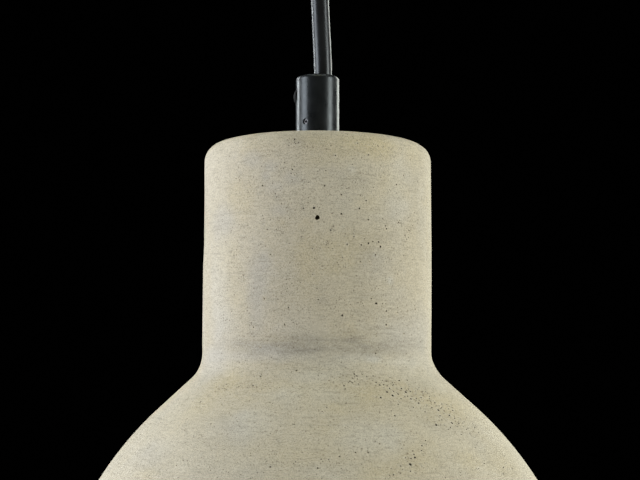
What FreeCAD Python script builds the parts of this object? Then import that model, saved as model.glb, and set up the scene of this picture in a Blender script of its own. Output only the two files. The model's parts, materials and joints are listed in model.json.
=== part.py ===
import FreeCAD, Part
import Sketcher
import math
import os

# Concrete bell pendant with its ceiling canopy.
# Frame: origin in the middle of the ceiling bracket's top face, which lies on
# the ceiling, +Z up, everything hangs below.  The front of the light is -Y.
# Millimetres throughout.

V = FreeCAD.Vector
doc = FreeCAD.newDocument("pendant_ceiling_light")
sheet = doc.addObject("Spreadsheet::Sheet", "Dims")

SIZES = [
    # ceiling bracket: a bent steel strap with a slot each side of the middle
    ("strap_long", 90), ("strap_wide", 24), ("strap_thick", 1.5), ("strap_bend", 1.0),
    ("tab_drop", 16), ("slot_pitch", 62), ("slot_long", 14), ("slot_wide", 5.2),
    ("side_screw_drop", 10), ("tap_four", 2.0), ("screw_four", 1.95), ("pan_rad", 3.8), ("pan_high", 2.4),
    # terminal block under the strap
    ("block_long", 30), ("block_wide", 18), ("block_high", 12), ("pole_pitch", 10),
    ("pole_rad", 2.5), ("pole_long", 15), ("pole_bore", 1.5), ("pole_axis", 7.5), ("pole_screw_y", 4.5),
    ("core_rad", 1.0),
    # canopy cup
    ("cup_rad", 50), ("cup_wall", 1.0), ("cup_deep", 28), ("cup_gap", 0.5), ("cup_round", 5),
    # cord grips, the same piece at both ends of the cord
    ("grip_rad", 7.65), ("grip_long", 24.7), ("grip_round", 1.2), ("grip_bore", 5.8),
    ("thread_rad", 5.0), ("grip_thread_deep", 11), ("clamp_from_mouth", 7.2), ("clamp_rad", 2.6),
    ("clamp_hole", 2.66), ("clamp_proud", 0.8), ("clamp_long", 6.2),
    ("lock_up", 7.9), ("lock_rad", 1.0), ("lock_hole", 1.05), ("lock_long", 2.05),
    # M10 x 1 threaded tubes, nuts and washers
    ("tube_rad", 4.95), ("tube_bore", 4.0), ("nut_flat", 7.0), ("nut_high", 3.0),
    # cord, round PVC sheath
    ("cord_rad", 3.2), ("cord_free", 78.6),
    # cast concrete shade
    ("neck_rad", 39.8), ("neck_top_rad", 39.55), ("neck_high", 72.2), ("neck_round", 6),
    ("crease_rad", 12), ("dome_angle", 47.7), ("dome_flat", 14.5), ("dome_rad", 115.4),
    ("rim_skirt", 3.0), ("wall", 9.5), ("top_thick", 10), ("rim_round", 2.5), ("shade_hole", 5.25),
    # lampholder
    ("holder_rad", 19.5), ("holder_in", 16.0), ("mouth_in", 14.0), ("shell_out", 13.8), ("shell_in", 13.3),
]
for row, (alias, value) in enumerate(SIZES, start=1):
    sheet.set("A%d" % row, alias)
    sheet.set("B%d" % row, str(value))
    sheet.setAlias("B%d" % row, alias)
doc.recompute()


class Q:
    """A size: its number, and the sheet expression that gives it."""

    def __init__(self, value, text):
        self.value = float(value)
        self.text = text

    def __add__(self, other):
        o = q(other)
        return Q(self.value + o.value, "(%s + %s)" % (self.text, o.text))

    __radd__ = __add__

    def __sub__(self, other):
        o = q(other)
        return Q(self.value - o.value, "(%s - %s)" % (self.text, o.text))

    def __rsub__(self, other):
        return q(other) - self

    def __mul__(self, other):
        o = q(other)
        return Q(self.value * o.value, "(%s * %s)" % (self.text, o.text))

    __rmul__ = __mul__

    def __truediv__(self, other):
        o = q(other)
        return Q(self.value / o.value, "(%s / %s)" % (self.text, o.text))

    def __neg__(self):
        return Q(-self.value, "(0 - %s)" % self.text)


def q(x):
    return x if isinstance(x, Q) else Q(x, repr(float(x)))


def d(alias):
    return Q(float(sheet.get(alias)), "Dims." + alias)


def sin_deg(a):
    return Q(math.sin(math.radians(a.value)), "sin(%s * 1deg)" % a.text)


def cos_deg(a):
    return Q(math.cos(math.radians(a.value)), "cos(%s * 1deg)" % a.text)


# ---------------------------------------------------------------- levels
CUP_BASE = -d("cup_deep")                              # underside of the cup
GRIP_ONE = CUP_BASE - d("grip_long")                   # mouth of the upper grip
GRIP_TWO = GRIP_ONE - d("cord_free")                   # mouth of the lower grip
SHADE_TOP = GRIP_TWO - d("grip_long")                  # top of the concrete
CREASE = SHADE_TOP - d("neck_high")                    # where the neck meets the dome
PLATE = SHADE_TOP - d("top_thick")                     # inside of the shade's top

NODES = []


def node(obj, name):
    obj.Label = name
    NODES.append(obj)
    return obj


def put(obj, x=0.0, y=0.0, z=0.0, rot=None):
    x, y, z = q(x), q(y), q(z)
    obj.Placement = FreeCAD.Placement(V(x.value, y.value, z.value), rot if rot else FreeCAD.Rotation())
    for axis, size in (("x", x), ("y", y), ("z", z)):
        obj.setExpression("Placement.Base." + axis, size.text)
    return obj


def cylinder(name, radius, height, x=0.0, y=0.0, z=0.0, rot=None):
    c = doc.addObject("Part::Cylinder", name)
    radius, height = q(radius), q(height)
    c.Radius, c.Height = radius.value, height.value
    c.setExpression("Radius", radius.text)
    c.setExpression("Height", height.text)
    return put(c, x, y, z, rot)


def box(name, lx, ly, lz, x=0.0, y=0.0, z=0.0, rot=None):
    b = doc.addObject("Part::Box", name)
    for prop, size in (("Length", q(lx)), ("Width", q(ly)), ("Height", q(lz))):
        setattr(b, prop, size.value)
        b.setExpression(prop, size.text)
    return put(b, x, y, z, rot)


def prism(name, flat, height, x=0.0, y=0.0, z=0.0, rot=None):
    """Hexagonal bar; flat is half the width across the flats."""
    p = doc.addObject("Part::Prism", name)
    flat, height = q(flat), q(height)
    p.Polygon = 6
    p.Circumradius, p.Height = flat.value / math.cos(math.pi / 6), height.value
    p.setExpression("Circumradius", "%s / cos(30 deg)" % flat.text)
    p.setExpression("Height", height.text)
    return put(p, x, y, z, rot)


def cut(name, base, tool):
    c = doc.addObject("Part::Cut", name)
    c.Base, c.Tool = base, tool
    return c


def fuse(name, shapes):
    f = doc.addObject("Part::MultiFuse", name)
    f.Shapes = shapes
    return f


def group(name, shapes):
    g = doc.addObject("Part::Compound", name)
    g.Links = shapes
    return g


def plane_of(body, role):
    return [f for f in body.Origin.OriginFeatures if f.Role == role][0]


def outline(body, name, role, start, steps):
    """A closed sketch of lines and arcs.  Each step is (x, y) for a line or
    (x, y, radius, turn) for an arc; turn is 1 anticlockwise, -1 clockwise."""
    sk = body.newObject("Sketcher::SketchObject", name)
    sk.AttachmentSupport = [(plane_of(body, role), "")]
    sk.MapMode = "FlatFace"
    at = (q(start[0]), q(start[1]))
    ends = []
    for step in steps:
        to = (q(step[0]), q(step[1]))
        p, e = V(at[0].value, at[1].value, 0), V(to[0].value, to[1].value, 0)
        if len(step) == 2:
            g = sk.addGeometry(Part.LineSegment(p, e), False)
            ends.append((g, 1, 2, at))
        else:
            r, turn = q(step[2]), step[3]
            half = (e - p) * 0.5
            rise = math.sqrt(max(r.value ** 2 - half.Length ** 2, 0.0))
            side = V(-half.y, half.x, 0).normalize() * (rise * turn)
            c = p + half + side
            a = [math.atan2((w - c).y, (w - c).x) for w in (p, e)]
            if turn < 0:
                a.reverse()
            g = sk.addGeometry(Part.ArcOfCircle(Part.Circle(c, V(0, 0, 1), r.value), a[0], a[1]), False)
            ends.append((g, 1, 2, at) if turn > 0 else (g, 2, 1, at))
            k = sk.addConstraint(Sketcher.Constraint("Radius", g, r.value))
            sk.setExpression("Constraints[%d]" % k, r.text)
        at = to
    for i, (g, first, last, corner) in enumerate(ends):
        before = ends[i - 1]
        sk.addConstraint(Sketcher.Constraint("Coincident", before[0], before[2], g, first))
        for kind, size, axis in (("DistanceX", corner[0], -2), ("DistanceY", corner[1], -1)):
            if abs(size.value) < 1e-9:
                sk.addConstraint(Sketcher.Constraint("PointOnObject", g, first, axis))
            else:
                k = sk.addConstraint(Sketcher.Constraint(kind, -1, 1, g, first, size.value))
                sk.setExpression("Constraints[%d]" % k, size.text)
    return sk


def circles(body, name, role, rings):
    """A sketch of full circles (x, y, radius) for holes."""
    sk = body.newObject("Sketcher::SketchObject", name)
    sk.AttachmentSupport = [(plane_of(body, role), "")]
    sk.MapMode = "FlatFace"
    for x, y, r in rings:
        x, y, r = q(x), q(y), q(r)
        g = sk.addGeometry(Part.Circle(V(x.value, y.value, 0), V(0, 0, 1), r.value), False)
        for kind, size, axis in (("DistanceX", x, -2), ("DistanceY", y, -1)):
            if abs(size.value) < 1e-9:
                sk.addConstraint(Sketcher.Constraint("PointOnObject", g, 3, axis))
            else:
                k = sk.addConstraint(Sketcher.Constraint(kind, -1, 1, g, 3, size.value))
                sk.setExpression("Constraints[%d]" % k, size.text)
        k = sk.addConstraint(Sketcher.Constraint("Radius", g, r.value))
        sk.setExpression("Constraints[%d]" % k, r.text)
    return sk


def turned(name, start, steps):
    """A turned piece: the outline in the XZ plane, revolved about Z."""
    body = doc.addObject("PartDesign::Body", name)
    sk = outline(body, name + "_profile", "XZ_Plane", start, steps)
    rev = body.newObject("PartDesign::Revolution", name + "_turn")
    rev.Profile = sk
    rev.ReferenceAxis = (sk, ["V_Axis"])
    rev.Angle = 360.0
    return body


def pocket(body, name, sk, length):
    """A pocket that runs both ways from the sketch's plane."""
    length = q(length)
    pk = body.newObject("PartDesign::Pocket", name)
    pk.Profile = sk
    pk.Type = "Length"
    pk.Midplane = True
    pk.Length = length.value
    pk.setExpression("Length", length.text)
    return pk


def ring(name, outer, inner, height, z):
    body = turned(name, (inner, 0), [(outer, 0), (outer, height), (inner, height), (inner, 0)])
    return put(body, 0, 0, z)


TURN_X = FreeCAD.Rotation(V(0, 1, 0), 90)      # local +Z to +X
TURN_NX = FreeCAD.Rotation(V(0, 1, 0), -90)    # local +Z to -X
TURN_Y = FreeCAD.Rotation(V(1, 0, 0), -90)     # local +Z to +Y
FLIP = FreeCAD.Rotation(V(0, 1, 0), 180)       # upside down


def along(direction):
    return FreeCAD.Rotation(V(0, 0, 1), direction)


# ---------------------------------------------------------------- ceiling bracket
def make_bracket():
    body = doc.addObject("PartDesign::Body", "ceiling_bracket")
    half, t, drop = d("strap_long") / 2, d("strap_thick"), d("tab_drop")
    rin = d("strap_bend")
    rout = rin + t
    sk = outline(body, "strap_profile", "XZ_Plane", (-half, -drop), [
        (-(half - t), -drop), (-(half - t), -rout), (-(half - rout), -t, rin, -1),
        (half - rout, -t), (half - t, -rout, rin, -1), (half - t, -drop), (half, -drop),
        (half, -rout), (half - rout, 0, rout, 1), (-(half - rout), 0), (-half, -rout, rout, 1), (-half, -drop)])
    pad = body.newObject("PartDesign::Pad", "strap_pad")
    pad.Profile = sk
    pad.Midplane = True
    pad.Length = d("strap_wide").value
    pad.setExpression("Length", "Dims.strap_wide")
    c, s, w = d("slot_pitch") / 2, (d("slot_long") - d("slot_wide")) / 2, d("slot_wide") / 2
    for side, name in ((1, "slot_right"), (-1, "slot_left")):
        m = c * side
        sl = outline(body, name + "_shape", "XY_Plane", (m - s, -w), [
            (m + s, -w), (m + s + w, 0, w, 1), (m + s, w, w, 1), (m - s, w), (m - s - w, 0, w, 1), (m - s, -w, w, 1)])
        pocket(body, name, sl, 10)
    holes = circles(body, "small_holes_shape", "XY_Plane", [
        (d("pole_pitch") / 2, 0, 1.25), (-20, 0, d("tap_four"))])
    pocket(body, "small_holes", holes, 10)
    taps = circles(body, "tab_holes_shape", "YZ_Plane", [(0, -d("side_screw_drop"), d("tap_four"))])
    pocket(body, "tab_holes", taps, 200)
    return node(body, "ceiling_bracket")


make_bracket()


# ---------------------------------------------------------------- terminal block
def make_terminal_block():
    t = d("strap_thick")
    low = -(t + d("block_high"))
    base = box("block_body", d("block_long"), d("block_wide"), d("block_high"),
               -(d("block_long") / 2), -(d("block_wide") / 2), low)
    tools = []
    for i in (-1, 0, 1):
        x = d("pole_pitch") * i
        tools.append(cylinder("block_way%d" % (i + 1), d("pole_rad") + 0.1, d("block_wide") + 2,
                              x, -(d("block_wide") / 2) - 1, -d("pole_axis"), TURN_Y))
        for j in (-1, 1):
            tools.append(cylinder("block_well%d%d" % (i + 1, j + 1), 2.3, d("block_high") + t - d("pole_axis") + 1,
                                  x, d("pole_screw_y") * j, low - 1))
    tools.append(cylinder("block_fix", 1.3, 20, d("pole_pitch") / 2, 0, low - 1))
    tools.append(cylinder("block_fix_well", 2.3, 7.5 + 1, d("pole_pitch") / 2, 0, low - 1))
    node(cut("terminal_block", base, fuse("block_tools", tools)), "terminal_block")
    tubes, screws = [], []
    for i in (-1, 0, 1):
        x = d("pole_pitch") * i
        bar = cylinder("pole_bar%d" % (i + 1), d("pole_rad"), d("pole_long"), x, -(d("pole_long") / 2), -d("pole_axis"), TURN_Y)
        bore = [cylinder("pole_hole%d" % (i + 1), d("pole_bore"), d("pole_long") + 2, x, -(d("pole_long") / 2) - 1, -d("pole_axis"), TURN_Y)]
        for j in (-1, 1):
            y = d("pole_screw_y") * j
            bore.append(cylinder("pole_tap%d%d" % (i + 1, j + 1), 1.3, 4, x, y, -d("pole_axis") - 4))
            shank = cylinder("pole_shank%d%d" % (i + 1, j + 1), 1.25, 2.8, x, y, -11.3)
            head = cylinder("pole_head%d%d" % (i + 1, j + 1), 2.0, 1.9, x, y, -13.1)
            slit = box("pole_slit%d%d" % (i + 1, j + 1), 5, 0.7, 0.9, x - 2.5, y - 0.35, -13.3)
            screws.append(cut("pole_screw%d%d" % (i + 1, j + 1), fuse("pole_blank%d%d" % (i + 1, j + 1), [shank, head]), slit))
        tubes.append(cut("pole%d" % (i + 1), bar, fuse("pole_bores%d" % (i + 1), bore)))
    node(group("terminal_tubes", tubes), "terminal_tubes")
    node(group("terminal_screws", screws), "terminal_screws")
    x = d("pole_pitch") / 2
    blank = fuse("fix_blank", [cylinder("fix_shank", 1.2, 6.0, x, 0, -6.2), cylinder("fix_head", 2.1, 1.9, x, 0, -8.0)])
    node(cut("terminal_fixing_screw", blank, box("fix_slit", 5, 0.7, 0.9, x - 2.5, -0.35, -8.2)), "terminal_fixing_screw")
    blank = fuse("earth_blank", [cylinder("earth_shank", d("screw_four"), 1.6, -20, 0, -1.6),
                                 cylinder("earth_head", 3.3, 2.2, -20, 0, -3.75)])
    slits = fuse("earth_slits", [box("earth_slit_x", 5, 0.9, 1.3, -22.5, -0.45, -4.0), box("earth_slit_y", 0.9, 5, 1.3, -20.45, -2.5, -4.0)])
    node(cut("earth_screw", blank, slits), "earth_screw")


make_terminal_block()


# ---------------------------------------------------------------- canopy cup and its side screws
def make_cup():
    r, w, f, g = d("cup_rad"), d("cup_wall"), d("cup_round"), d("cup_gap")
    deep = d("cup_deep")
    body = turned("canopy_cup", (d("thread_rad") + 0.1, 0), [
        (r - f, 0), (r, f, f, 1), (r, deep - g), (r - w, deep - g), (r - w, f), (r - f, w, f - w, -1),
        (d("thread_rad") + 0.1, w), (d("thread_rad") + 0.1, 0)])
    put(body, 0, 0, CUP_BASE)
    # open-topped slots, one each side, that ride over the side screws
    s = 2.2
    z = deep - d("side_screw_drop")
    sk = outline(body, "cup_slot_shape", "YZ_Plane", (-s, z), [(0, z - s, s, 1), (s, z, s, 1), (s, deep + 2), (-s, deep + 2), (-s, z)])
    pocket(body, "cup_slot", sk, 200)
    node(body, "canopy_cup")
    for name, rot, sign in (("side_screw_right", TURN_X, 1), ("side_screw_left", TURN_NX, -1)):
        p, hgt, sh = d("pan_rad"), d("pan_high"), d("screw_four")
        long = 7.6
        screw = turned(name + "_blank", (0, 0), [(sh - 0.4, 0), (sh, 0.4), (sh, long), (p, long), (p, long + 1.2),
                                                 (p - 1.2, hgt + long, 1.2, 1), (0, hgt + long), (0, 0)])
        put(screw, (d("cup_rad") + 0.05 - long) * sign, 0, -d("side_screw_drop"), rot)
        slit = box(name + "_slit", 3, 9, 0.9, (d("cup_rad") + long * 0 + hgt - 1.1) * sign - (0 if sign > 0 else 3), -4.5, -d("side_screw_drop") - 0.45)
        node(cut(name, screw, slit), name)


make_cup()


# ---------------------------------------------------------------- cord grips with their screws
LOCK_AZIMUTH = 34.0     # degrees left of the front for the lower grip


def make_grip(prefix, mouth, upside, clamp_side, lock_dir):
    """One cord grip.  mouth is the level of its open end; upside is 1 when the
    mouth is at the top.  clamp_side is the X direction its clamp screw points
    out in, lock_dir the direction of its small set screw."""
    R, L, f = d("grip_rad"), d("grip_long"), d("grip_round")
    b, t, deep = d("grip_bore"), d("thread_rad"), d("grip_thread_deep")
    blank = turned(prefix + "_grip_blank", (t, 0), [
        (R - 0.3, 0), (R, 0.3), (R, L - f), (R - f, L, f, 1), (b + 0.5, L), (b, L - 0.5, 0.5, 1),
        (b, deep + 0.5), (t, deep), (t, 0)])
    if upside > 0:
        put(blank, 0, 0, mouth - L)
    else:
        put(blank, 0, 0, mouth + L, FLIP)
    zc = mouth - d("clamp_from_mouth") * upside
    zl = mouth - (L - d("lock_up")) * upside
    rot = TURN_X if clamp_side > 0 else TURN_NX
    hole = cylinder(prefix + "_clamp_way", d("clamp_hole"), 8, 2.0 * clamp_side, 0, zc, rot)
    turn = along(V(lock_dir[0], lock_dir[1], 0))
    small = cylinder(prefix + "_lock_way", d("lock_hole"), 6, lock_dir[0] * 3.0, lock_dir[1] * 3.0, zl, turn)
    node(cut(prefix + "_cord_grip", blank, fuse(prefix + "_grip_ways", [hole, small])), prefix + "_cord_grip")
    # slotted nylon clamp screw with a low domed head just proud of the grip
    cr, long, proud = d("clamp_rad"), d("clamp_long"), d("clamp_proud")
    screw = turned(prefix + "_clamp_blank", (0, 0), [
        (cr - 0.6, 0), (cr, 0.6), (cr, long - 0.78), (0, long, 4.72, 1), (0, 0)])
    put(screw, (d("grip_rad") + proud - long) * clamp_side, 0, zc, rot)
    slit_x = (d("grip_rad") + proud) * clamp_side - (0.9 if clamp_side > 0 else 0.6)
    slit = box(prefix + "_clamp_slit", 1.5, 0.7, 7, slit_x, -0.35, zc - 3.5)
    node(cut(prefix + "_clamp_screw", screw, slit), prefix + "_clamp_screw")
    # set screw with a hexagon socket, sunk a little, tight on the threaded tube
    near = d("thread_rad")
    grub = cylinder(prefix + "_lock_blank", d("lock_rad"), d("lock_long"), near * lock_dir[0], near * lock_dir[1], zl, turn)
    hexa = prism(prefix + "_lock_socket", 0.45, 2, (near + d("lock_long") - 0.8) * lock_dir[0],
                 (near + d("lock_long") - 0.8) * lock_dir[1], zl, turn)
    node(cut(prefix + "_lock_screw", grub, hexa), prefix + "_lock_screw")


a = math.radians(LOCK_AZIMUTH)
make_grip("canopy", GRIP_ONE, -1, 1, (math.sin(a), math.cos(a)))
make_grip("shade", GRIP_TWO, 1, -1, (-math.sin(a), -math.cos(a)))


# ---------------------------------------------------------------- threaded tubes, nuts, washers
def make_tube(name, low, high):
    o, i = d("tube_rad"), d("tube_bore")
    h = high - low
    c = 0.4
    body = turned(name, (i, c), [(i + c, 0), (o - c, 0), (o, c), (o, h - c), (o - c, h), (i + c, h), (i, h - c), (i, c)])
    put(body, 0, 0, low)
    return node(body, name)


make_tube("canopy_threaded_tube", CUP_BASE - 10.8, CUP_BASE + 6)
make_tube("shade_threaded_tube", SHADE_TOP - 24, SHADE_TOP + 10.8)


def make_nut(name, z):
    hexa = prism(name + "_hexagon", d("nut_flat"), d("nut_high"), 0, 0, z)
    hole = cylinder(name + "_hole", d("thread_rad"), d("nut_high") + 2, 0, 0, z - 1)
    # the corners are turned down to a light chamfer
    r = d("nut_flat") + 0.9
    h = d("nut_high")
    dome = turned(name + "_chamfer", (0, 0), [(r - 0.55, 0), (r, 0.32), (r, h - 0.32), (r - 0.55, h), (0, h), (0, 0)])
    put(dome, 0, 0, z)
    common = doc.addObject("Part::Common", name + "_form")
    common.Base, common.Tool = hexa, dome
    return node(cut(name, common, hole), name)


# canopy: earth tag ring on the cup's floor, then the nut
tag_ring = cylinder("tag_ring", 8.6, 0.8, 0, 0, CUP_BASE + d("cup_wall"))
tag_arm = box("tag_arm", 5, 11, 0.8, -2.5, -16, CUP_BASE + d("cup_wall"))
tag_hole = cylinder("tag_hole", d("thread_rad") + 0.1, 3, 0, 0, CUP_BASE)
node(cut("canopy_earth_tag", fuse("tag_blank", [tag_ring, tag_arm]), tag_hole), "canopy_earth_tag")
make_nut("canopy_nut", CUP_BASE + d("cup_wall") + 0.8)

# shade: soft washer against the concrete, steel washer, nut
node(ring("shade_soft_washer", 14.0, d("thread_rad") + 0.3, 1.0, PLATE - 1.0), "shade_soft_washer")
node(ring("shade_steel_washer", 13.0, d("thread_rad") + 0.2, 1.5, PLATE - 2.5), "shade_steel_washer")
make_nut("shade_nut", PLATE - 5.5)


# ---------------------------------------------------------------- concrete shade
def make_shade():
    """Cast bell: a drafted neck with a rounded top edge, a hollow crease,
    a straight flank and one long arc down to the rim, all one wall thick."""
    R, Rt, f = d("neck_rad"), d("neck_top_rad"), d("neck_round")
    H, w, rc, ang = d("neck_high"), d("wall"), d("crease_rad"), d("dome_angle")
    A, Fl = d("dome_rad"), d("dome_flat")
    s, c = sin_deg(ang), cos_deg(ang)
    tall_dome = rc * s + Fl * c + A * s + d("rim_skirt")
    z0 = tall_dome                       # level of the crease above the rim
    # outer corners
    o1 = (R + rc * (1 - c), z0 - rc * s)
    o2 = (o1[0] + Fl * s, o1[1] - Fl * c)
    o3 = (o2[0] + A * (1 - c), o2[1] - A * s)
    # inner corners, one wall inside
    ri = rc + w
    i1 = (R + rc - ri * c, z0 - ri * s)
    i2 = (i1[0] + Fl * s, i1[1] - Fl * c)
    i3 = (o3[0] - w, o3[1])
    k = d("rim_round")
    bore, top, plate = d("shade_hole"), z0 + H, z0 + H - d("top_thick")
    body = turned("shade", (bore, plate), [
        (R - w - 4, plate), (R - w, plate - 4, 4, -1), (R - w, z0), (i1[0], i1[1], ri, 1), i2,
        (i3[0], i3[1], A - w, -1), (o3[0] - w, k), (o3[0] - w + k, 0, k, 1), (o3[0] - k, 0), (o3[0], k, k, 1), o3,
        (o2[0], o2[1], A, 1), o1, (R, z0, rc, -1), (Rt, top - f), (Rt - f, top, f, 1), (bore, top), (bore, plate)])
    put(body, 0, 0, CREASE - z0)
    node(body, "shade")
    return CREASE - z0


RIM = make_shade()


# ---------------------------------------------------------------- lampholder
CAP_TOP = PLATE - 7            # top of the lampholder's collar
CAP_END = CAP_TOP - 24         # where the cap meets the skirt
MOUTH = CAP_TOP - 57           # mouth of the lampholder
FLOOR = MOUTH + 23.5           # top of the screw shell's floor


def make_holder():
    R = d("holder_rad")
    t = d("thread_rad")
    # cap: threaded collar, shoulder, wall; measured up from its lower edge
    cap = turned("holder_cap_blank", (17.4, 0), [
        (R, 0), (R, 9), (R - 9, 16.5, 9.5, 1), (8.4, 16.5), (8.0, 17), (8.0, 23.4), (7.4, 24), (t, 24), (t, 15.4),
        (10, 14.4), (17.4, 8), (17.4, 0)])
    put(cap, 0, 0, CAP_END)
    hole = cylinder("cap_lock_way", d("lock_hole"), 8, 3, 0, CAP_TOP - 4, TURN_X)
    node(cut("holder_cap", cap, hole), "holder_cap")
    grub = cylinder("cap_lock_blank", d("lock_rad"), 3.0, t, 0, CAP_TOP - 4, TURN_X)
    hexa = prism("cap_lock_socket", 0.62, 2, t + 2, 0, CAP_TOP - 4, TURN_X)
    node(cut("holder_cap_lock_screw", grub, hexa), "holder_cap_lock_screw")
    # skirt: screws into the cap, holds the contact block on its inner ledge
    hi = CAP_END - MOUTH
    led = FLOOR - MOUTH
    m, n = d("mouth_in"), d("holder_in")
    skirt = turned("holder_skirt", (m, 0.6), [
        (m + 0.6, 0), (R - 1.2, 0), (R, 1.2, 1.2, 1), (R, hi - 0.1), (17.3, hi - 0.1), (17.3, hi + 7), (n, hi + 7),
        (n, led), (m, led), (m, 0.6)])
    put(skirt, 0, 0, MOUTH)
    node(skirt, "holder_skirt")
    # screw shell: thin metal cup with a hole in its floor for the contact
    so, si = d("shell_out"), d("shell_in")
    shell = turned("screw_shell", (si, 0), [(so, 0), (so, led - 3.3), (so - 2.0, led), (3.0, led), (3.0, led - 0.5),
                                           (si - 1.9, led - 0.5), (si, led - 3.5), (si, 0)])
    put(shell, 0, 0, MOUTH + 0.5)
    holes = circles(shell, "shell_holes_shape", "XY_Plane", [(0, 8.5, 1.3), (0, -8.5, 1.3)])
    pocket(shell, "shell_holes", holes, 100)
    node(shell, "screw_shell")
    # contact block: spring chamber open below, guide hole above
    base = FLOOR + 0.5
    high = 14.0
    block = turned("contact_block_blank", (4.1, 0), [(n - 0.1, 0), (n - 0.1, high - 0.5), (n - 0.6, high), (1.47, high), (1.47, 8.3),
                                                     (4.1, 8.3), (4.1, 0)])
    put(block, 0, 0, base)
    taps = [cylinder("block_tap_a", 1.25, 8.5, 0, 8.5, base - 0.5), cylinder("block_tap_b", 1.25, 8.5, 0, -8.5, base - 0.5)]
    node(cut("contact_block", block, fuse("block_taps", taps)), "contact_block")
    shell_screws = []
    for s, nm in ((1, "a"), (-1, "b")):
        shank = cylinder("shell_shank_" + nm, 1.2, 7.5, 0, 8.5 * s, base - 0.6)
        head = cylinder("shell_head_" + nm, 2.2, 1.1, 0, 8.5 * s, base - 1.6)
        slit = box("shell_slit_" + nm, 5, 0.6, 0.5, -2.5, 8.5 * s - 0.3, base - 1.7)
        shell_screws.append(cut("shell_screw_" + nm, fuse("shell_blank_" + nm, [shank, head]), slit))
    node(group("shell_screws", shell_screws), "shell_screws")
    # terminals on top of the block, with their screws
    top = base + high
    terms, screws = [], []
    for s, nm in ((1, "r"), (-1, "l")):
        x = 8.0 * s
        blk = box("holder_term_" + nm, 6, 5, 5.6, x - 3, -2.5, top)
        way = cylinder("holder_way_" + nm, 1.15, 8, x - 4, 0, top + 2.3, TURN_X)
        tap = cylinder("holder_tap_" + nm, 1.05, 6, x, 0, top + 2.3)
        terms.append(cut("holder_terminal_" + nm, blk, fuse("holder_term_ways_" + nm, [way, tap])))
        sh = cylinder("holder_shank_" + nm, 1.0, 3.4, x, 0, top + 3.5)
        hd = cylinder("holder_head_" + nm, 1.8, 1.2, x, 0, top + 5.7)
        sl = box("holder_slit_" + nm, 5, 0.5, 0.6, x - 2.5, -0.25, top + 6.5)
        screws.append(cut("holder_term_screw_" + nm, fuse("holder_screw_blank_" + nm, [sh, hd]), sl))
    node(group("holder_terminals", terms), "holder_terminals")
    node(group("holder_terminal_screws", screws), "holder_terminal_screws")
    # sprung centre contact: tip below the floor, flange above it, stem in the guide
    plunger = turned("centre_contact", (0, 0), [
        (1.8, 0), (2.6, 0.8, 0.8, 1), (2.6, 3.2), (3.7, 3.2), (3.7, 4.0), (1.4, 4.0), (1.4, 14.6), (0, 14.6), (0, 0)])
    put(plunger, 0, 0, base - 3.0)
    node(plunger, "centre_contact")
    return base, top


BASE, BLOCK_TOP = make_holder()


# ---------------------------------------------------------------- contact spring
def make_spring():
    low, high = BASE.value + 1.02, BASE.value + 8.28
    wire = 0.28
    turns = 4.5
    h = high - low - 2 * wire
    helix = Part.makeHelix(h / turns, h, 2.6)
    path = Part.Wire(helix.Edges)
    section = Part.Wire([Part.makeCircle(wire, V(2.6, 0, 0), V(0, 1, 0))])
    coil = path.makePipeShell([section], True, True)
    f = doc.addObject("Part::Feature", "contact_spring")
    f.Shape = coil
    f.Placement = FreeCAD.Placement(V(0, 0, low + wire), FreeCAD.Rotation())
    return node(f, "contact_spring")


make_spring()


# ---------------------------------------------------------------- cord and wires
def route_wire(points, name):
    """Straight runs joined by tangent arcs, each arc as large as its two runs
    allow: 0.45 of the shorter run over the tangent of half the turn."""
    pts = [V(*p) for p in points]
    edges, at, radii = [], pts[0], []
    for i in range(1, len(pts) - 1):
        a, b = (pts[i] - pts[i - 1]), (pts[i + 1] - pts[i])
        turn = a.getAngle(b)
        back = 0.45 * min(a.Length, b.Length)
        radius = back / math.tan(turn / 2)
        radii.append(round(radius, 1))
        ua, ub = V(a).normalize(), V(b).normalize()
        p, e = pts[i] - ua * back, pts[i] + ub * back
        mid_dir = (ub - ua).normalize()
        centre = pts[i] + mid_dir * (radius / math.cos(turn / 2))
        m = centre - mid_dir * radius
        edges.append(Part.LineSegment(at, p).toShape())
        edges.append(Part.Arc(p, m, e).toShape())
        at = e
    edges.append(Part.LineSegment(at, pts[-1]).toShape())
    w = Part.Wire(edges)
    print("%s: length %.1f mm, arc radii %s" % (name, w.Length, radii))
    return w


def tube(points, radius, name):
    w = route_wire(points, name)
    start = V(*points[0])
    dirn = V(*points[1]) - start
    section = Part.Wire([Part.makeCircle(radius, start, dirn)])
    s = w.makePipeShell([section], True, False)
    want = math.pi * radius ** 2 * w.Length
    if abs(s.Volume - want) > 0.02 * want:
        raise RuntimeError("%s: volume %.1f, expected %.1f" % (name, s.Volume, want))
    return s


def feature(name, shape):
    f = doc.addObject("Part::Feature", name)
    f.Shape = shape
    f.Placement = FreeCAD.Placement(V(0, 0, 0), FreeCAD.Rotation())
    return node(f, name)


CR = float(sheet.get("cord_rad"))
ONE, TWO = GRIP_ONE.value, GRIP_TWO.value
LEAN, SHIFT = 1.8, 0.45           # the cord leaves the mouths this far either side of a line SHIFT off the axis
SIDE, FRONT, TWIST = ONE - 8.3, ONE - 30.3, ONE - 56.3   # levels of the cord's three flexing places


def lean_x(z):
    """The taut stretch runs straight from one mouth to the other."""
    return SHIFT - LEAN + 2 * LEAN * (ONE - z) / (ONE - TWO)


def straight(z0, z1):
    return [(lean_x(z0), 0, z0), (lean_x(z1), 0, z1)]


def plain_tube(z0, z1):
    p, e = [V(*w) for w in straight(z0, z1)]
    return Part.makeCylinder(CR, (e - p).Length, p, e - p)


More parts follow.
